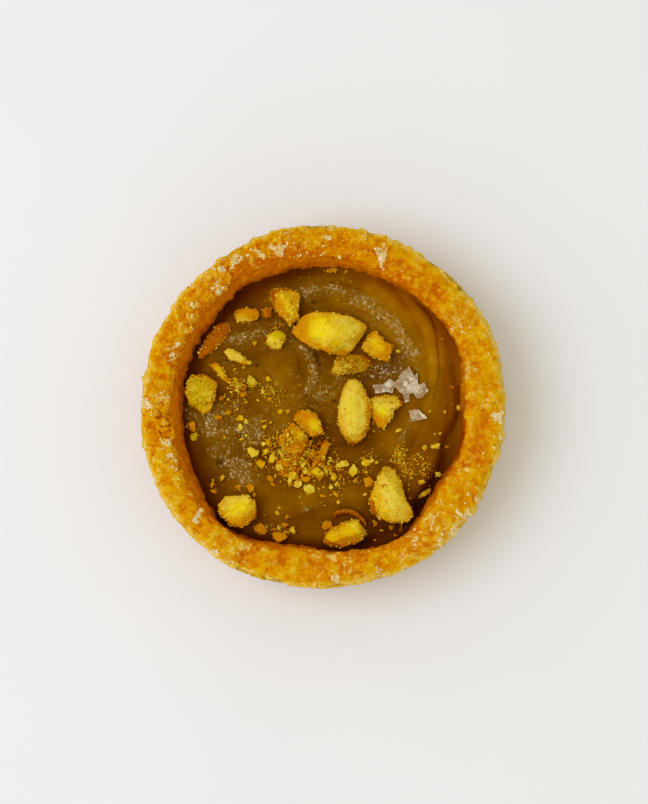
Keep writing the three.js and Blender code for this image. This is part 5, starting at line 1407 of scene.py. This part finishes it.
def grain_material(name, stops, spec, sss):
    n = Nodes(name)
    tint = n.attr("tint")
    fine = n.noise(0.3, 3, 0.7)
    f = n.math("ADD", n.math("MULTIPLY", n.math("SUBTRACT", fine, 0.5), 0.8), n.math("MULTIPLY_ADD", tint, 0.3, 0.5))
    col = n.ramp(f, stops)
    b = n.bump(n.noise(0.25, 3, 0.6), 0.06, 0.6)
    return n.finish(col, n.span(fine, 0.3, 0.7, 0.6, 0.85), b, spec=spec, sss=sss, sss_radius=(1.0, 0.6, 0.3), sss_scale_mm=0.7)


M_PALE = grain_material("pale_dough_grain", [(0.1, (0.84, 0.48, 0.09)), (0.45, (0.90, 0.66, 0.27)), (0.8, (0.96, 0.85, 0.60))], 0.08, 0.35)
M_GOLD = grain_material("golden_dough_grain", [(0.0, (0.62, 0.17, 0.001)), (0.40, (0.70, 0.29, 0.002)), (0.75, (0.79, 0.44, 0.020)), (1.0, (0.85, 0.58, 0.12))], 0.04, 0.15)
pale_heap, gold_heap = Heap(), Heap()
# angle, radius, spread, how many, largest: where flour and sugar show pale
PALE_SPOTS = [
    (69, 32.3, 0.75, 14, 1.2), (71, 32.6, 0.3, 5, 1.1), (105, 32.1, 0.8, 16, 1.2), (104, 32.4, 0.4, 5, 1.3), (112, 32.3, 0.5, 8, 0.9), (114, 32.6, 0.3, 4, 0.8),
    (120, 33.7, 0.6, 8, 1.0), (126, 33.7, 0.55, 9, 0.9), (130, 30.4, 0.6, 9, 1.2), (133, 30.0, 0.4, 4, 1.1), (148, 31.1, 0.35, 3, 0.6), (149, 29.9, 0.3, 2, 0.9),
    (161, 31.0, 0.45, 3, 1.0), (161, 31.8, 0.5, 3, 0.7), (199, 31.5, 0.9, 9, 0.9), (219, 31.9, 0.4, 4, 0.7), (178, 34.8, 0.8, 5, 0.7), (355, 34.5, 0.8, 9, 0.9),
    (318, 34.6, 1.2, 16, 0.9), (312, 35.0, 0.9, 10, 0.8), (306, 35.0, 0.9, 8, 0.8), (84, 29.4, 0.4, 3, 0.6), (92, 32.5, 1.0, 6, 0.45), (88, 33.0, 0.6, 5, 0.4),
    (13, 28.9, 0.6, 4, 0.7), (262, 34.6, 1.2, 5, 0.7), (268, 35.2, 1.0, 6, 0.7), (240, 35.4, 1.0, 5, 0.6), (222, 35.6, 0.8, 5, 0.6), (100, 29.8, 0.5, 5, 0.5),
]
for a, r, spread_, count, biggest in PALE_SPOTS:
    for _ in range(max(2, count // 3)):
        ra = r + rng.normal() * spread_ * 0.5
        aa = a + math.degrees(rng.normal() * spread_ * 0.7 / r)
        p, n = rim_spot(aa % 360, ra)
        s = 0.7 * biggest * rng.uniform(0.35, 0.95)
        pale_heap.splinter(p - n * s * 0.10, (s * rng.uniform(1.0, 1.5), s * 0.9, s * 0.6), tilt=30, skin=0.0)
        for _ in range(2):
            k = p + s * np.array([rng.normal() * 0.42, rng.normal() * 0.42, 0]) + n * s * rng.uniform(-0.1, 0.15)
            pale_heap.splinter(k, (s * rng.uniform(0.3, 0.7), s * 0.38, s * 0.3), tilt=45, skin=0.0)
for _ in range(90):
    p, n = rim_spot(rng.uniform(0, 360), rng.uniform(29.0, 36.0))
    s = 0.16 + 0.38 * rng.random() ** 3
    pale_heap.splinter(p - n * s * 0.1, (s * 1.4, s, s * 0.7), tilt=45, skin=0.0)
for _ in range(3600):
    a = rng.uniform(0, 360)
    if rng.random() > 0.50 + 0.50 * math.cos(math.radians(a - 125)):
        continue
    p, n = rim_spot(a, rng.uniform(28.9, 36.2))
    s = 0.22 + 0.50 * rng.random() ** 2.6
    gold_heap.splinter(p - n * s * 0.30, (s * 1.35, s, s * 0.8), tilt=60, skin=0.0)
pale_heap.build("rim_pale_grains", M_PALE, "crust")
gold_heap.build("rim_golden_grains", M_GOLD, "crust")


# ------------------------------------------------------------------ salt
def flake(v, f, count, centre, radius, thick, sides, turn, pitch, roll, seed):
    r = np.random.default_rng(seed)
    n_ring = sides
    ang = np.sort((np.arange(n_ring) + r.uniform(-0.3, 0.3, n_ring)) / n_ring * 2 * np.pi)
    rr = radius * r.uniform(0.75, 1.1, n_ring)
    rows = []
    for z, k in ((-0.5, 0.85), (-0.2, 1.0), (0.25, 0.98), (0.5, 0.72), (0.42, 0.45)):
        rows.append(np.stack([rr * k * np.cos(ang), rr * k * np.sin(ang), np.full(n_ring, z * thick) + r.normal(size=n_ring) * 0.04 * thick], -1))
    p = np.vstack([[[0, 0, -0.5 * thick]], *rows, [[0, 0, 0.36 * thick]]])
    p = p @ turn_matrix(roll, pitch, turn).T + np.asarray(centre)
    q = grid_faces(len(rows), n_ring) + 1
    j = np.arange(n_ring)
    k = (j + 1) % n_ring
    last = 1 + (len(rows) - 1) * n_ring
    tri = np.concatenate([q[:, [0, 1, 2]], q[:, [0, 2, 3]], np.stack([0 * j, 1 + k, 1 + j], -1), np.stack([np.full(n_ring, len(p) - 1), last + j, last + k], -1)])
    v.append(p)
    f.append(tri + count)
    return count + len(p)


def plate(v, f, count, pts, z, thick, tilt_x, tilt_y, seed):
    """A thin flat crystal with the given outline, its rim a little raised as in a hollow flake."""
    r = np.random.default_rng(seed)
    pts = np.array(pts, float)
    mid_ = pts.mean(0)
    fine_ = []
    for a, b in zip(pts, np.roll(pts, -1, 0)):
        for u in (0.0, 0.34, 0.67):
            fine_.append(a + (b - a) * u + (r.normal(size=2) * 0.05 if u else 0))
    o = (np.array(fine_) - mid_) * 1.16
    if (o[:, 0] * np.roll(o[:, 1], -1) - np.roll(o[:, 0], -1) * o[:, 1]).sum() < 0:
        o = o[::-1]
    k = len(o)
    rows = []
    for zz, sc_, wild in ((-0.5, 0.90, 0.07), (-0.25, 1.0, 0.07), (0.30, 1.0, 0.10), (0.5, 0.90, 0.06), (0.46, 0.80, 0.0), (0.34, 0.72, 0.0), (0.34, 0.30, 0.0)):
        rows.append(np.column_stack([o * sc_, np.full(k, zz * thick) + r.normal(size=k) * wild * thick]))
    p = np.vstack([[[0, 0, -0.5 * thick]], *rows, [[0, 0, 0.34 * thick]]])
    p[:, 2] += p[:, 0] * tilt_x + p[:, 1] * tilt_y
    p += [mid_[0], mid_[1], z]
    q = grid_faces(len(rows), k) + 1
    j = np.arange(k)
    jj = (j + 1) % k
    last = 1 + (len(rows) - 1) * k
    tri = np.concatenate([q[:, [0, 1, 2]], q[:, [0, 2, 3]], np.stack([0 * j, 1 + jj, 1 + j], -1), np.stack([np.full(k, len(p) - 1), last + j, last + jj], -1)])
    v.append(p)
    f.append(tri + count)
    return count + len(p)


PLATES = [
    [(15.1, 6.0), (15.9, 7.0), (17.0, 7.9), (17.8, 6.6), (18.3, 5.8), (17.0, 5.2)],
    [(14.1, 4.6), (15.5, 5.6), (17.2, 5.4), (18.4, 4.4), (17.8, 3.1), (16.4, 2.7), (15.3, 3.2)],
    [(18.4, 4.0), (20.0, 4.7), (20.8, 3.4), (19.4, 1.9), (18.2, 2.9)],
    [(15.7, 2.9), (17.2, 3.0), (17.1, 1.3), (16.2, 1.1)],
    [(11.9, 4.4), (13.1, 5.6), (14.4, 4.8), (13.7, 3.0), (12.5, 3.4)],
    [(10.0, 4.4), (11.9, 4.6), (12.5, 3.2), (10.5, 2.9)],
    [(17.1, 7.0), (18.4, 6.0), (19.0, 4.4), (17.4, 4.6)],
    [(17.2, -0.7), (18.9, -0.5), (20.4, -2.1), (17.6, -2.7)],
    [(18.0, 6.2), (18.8, 6.8), (18.8, 5.4)],
    [(17.8, 3.2), (19.4, 2.1), (18.6, 1.8)],
]
sv, sf, sc = [], [], 0
for k, (lift, tx, ty) in enumerate([(0.55, 0.05, -0.06), (0.35, -0.04, 0.05), (0.50, -0.10, 0.04), (0.30, 0.03, 0.08), (0.20, 0.05, 0.02), (0.18, -0.03, 0.05), (0.38, 0.06, 0.05), (0.20, 0.04, -0.04), (0.62, 0.08, 0.06), (0.60, -0.08, 0.05)]):
    if k in (4, 5, 7):
        continue
    mx, my = np.mean(PLATES[k], 0)
    sc = plate(sv, sf, sc, PLATES[k], on_cream(mx, my, lift), 0.42, tx, ty, 900 + k)
sVv, sFf = np.vstack(sv), np.vstack(sf)
salt_main = make_object("salt_flake_look", sVv, sFf, M_SALT, {}, flat=True)
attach(salt_main, "root")
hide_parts("salt_flake")
sv, sf, sc = [], [], 0
for k, lift in ((4, 0.22), (5, 0.18), (7, 0.22)):
    mx, my = np.mean(PLATES[k], 0)
    sc = plate(sv, sf, sc, PLATES[k], on_cream(mx, my, lift), 0.34, 0.05, -0.04, 940 + k)
for k in range(95):
    x, y = 12.0 + rng.normal() * 2.3, 7.0 + rng.normal() * 1.7
    s = 0.12 + 0.46 * rng.random() ** 2.2
    bit, bit_f = SHARDS[rng.integers(len(SHARDS))]
    bit = (bit * np.array([s * rng.uniform(1.0, 1.9), s, s * 0.45])) @ turn_matrix(rng.normal() * 18, rng.normal() * 18, rng.uniform(0, 360)).T + np.array([x, y, on_cream(x, y, 0.0)])
    sv.append(bit)
    sf.append(bit_f + sc)
    sc += len(bit)
salt_small = make_object("salt_small_flakes", np.vstack(sv), np.vstack(sf), M_SALT, {}, flat=True)
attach(salt_small, "root")


# ------------------------------------------------------------------ floor, light and camera
def floor_material():
    n = Nodes("pale_floor")
    f = n.noise(60.0, 2, 0.5)
    col = n.ramp(f, [(0.3, (0.865, 0.865, 0.875)), (0.7, (0.885, 0.885, 0.895))])
    return n.finish(col, 0.75, None, spec=0.1)


floor = make_object("floor", [(-900, -900, -0.02), (900, -900, -0.02), (900, 900, -0.02), (-900, 900, -0.02)], [(0, 1, 2, 3)], floor_material())


def area(name, azimuth, elevation, distance, size, power, color=(1, 1, 1)):
    data = bpy.data.lights.new(name, "AREA")
    data.shape = "DISK"
    data.size = size
    data.energy = power
    data.color = color
    o = bpy.data.objects.new(name, data)
    COLL.objects.link(o)
    d = unit(azimuth, elevation) * distance
    o.location = (d[0], d[1], d[2])
    from mathutils import Vector
    o.rotation_mode = "QUATERNION"
    o.rotation_quaternion = Vector((-d[0], -d[1], -d[2])).to_track_quat("-Z", "Y")
    return o


area("key_light", 182, 61, 0.75, 0.50, 1.70, (0.95, 0.985, 1.22))
world = bpy.data.worlds.new("studio")
world.use_nodes = True
wt = world.node_tree
back = wt.nodes["Background"]
# brighter towards the sides than overhead
wc = wt.nodes.new("ShaderNodeTexCoord")
wx_ = wt.nodes.new("ShaderNodeSeparateXYZ")
wm = wt.nodes.new("ShaderNodeMapRange")
wm.inputs[1].default_value, wm.inputs[2].default_value = 0.0, 1.0
wm.inputs[3].default_value, wm.inputs[4].default_value = 1.13, 0.565
wt.links.new(wc.outputs["Generated"], wx_.inputs[0])
wt.links.new(wx_.outputs["Z"], wm.inputs[0])
# and brighter on the left, where the window light comes from
wl = wt.nodes.new("ShaderNodeMapRange")
wl.inputs[1].default_value, wl.inputs[2].default_value = -1.0, 1.0
wl.inputs[3].default_value, wl.inputs[4].default_value = 1.15, 0.85
wt.links.new(wx_.outputs["X"], wl.inputs[0])
wp = wt.nodes.new("ShaderNodeMath")
wp.operation = "MULTIPLY"
wt.links.new(wm.outputs[0], wp.inputs[0])
wt.links.new(wl.outputs[0], wp.inputs[1])
wt.links.new(wp.outputs[0], back.inputs[1])
back.inputs[0].default_value = (1.0, 0.980, 0.865, 1)
bpy.context.scene.world = world

cam_data = bpy.data.cameras.new("camera")
cam_data.lens = 125.0
cam_data.sensor_width = 36.0
cam_data.clip_start, cam_data.clip_end = 0.01, 10.0
cam = bpy.data.objects.new("camera", cam_data)
cam.location = (0.000177, -0.0375671, 0.5688163)
cam.rotation_euler = (math.radians(4.0), 0.0, 0.0)
COLL.objects.link(cam)
bpy.context.scene.camera = cam
bpy.context.scene.view_settings.view_transform = "Standard"
bpy.context.scene.view_settings.look = "None"
bpy.context.scene.view_settings.use_curve_mapping = True
tone_curve = bpy.context.scene.view_settings.curve_mapping
for cx, cy in ((0.02, 0.009), (0.05, 0.031), (0.10, 0.074), (0.20, 0.172), (0.35, 0.330), (0.50, 0.490), (0.70, 0.697), (0.85, 0.850)):
    tone_curve.curves[3].points.new(cx, cy)
for cx, cy in ((0.02, 0.006), (0.05, 0.032), (0.12, 0.100), (0.30, 0.290), (0.60, 0.600)):
    tone_curve.curves[2].points.new(cx, cy)
tone_curve.update()

bpy.context.view_layer.update()
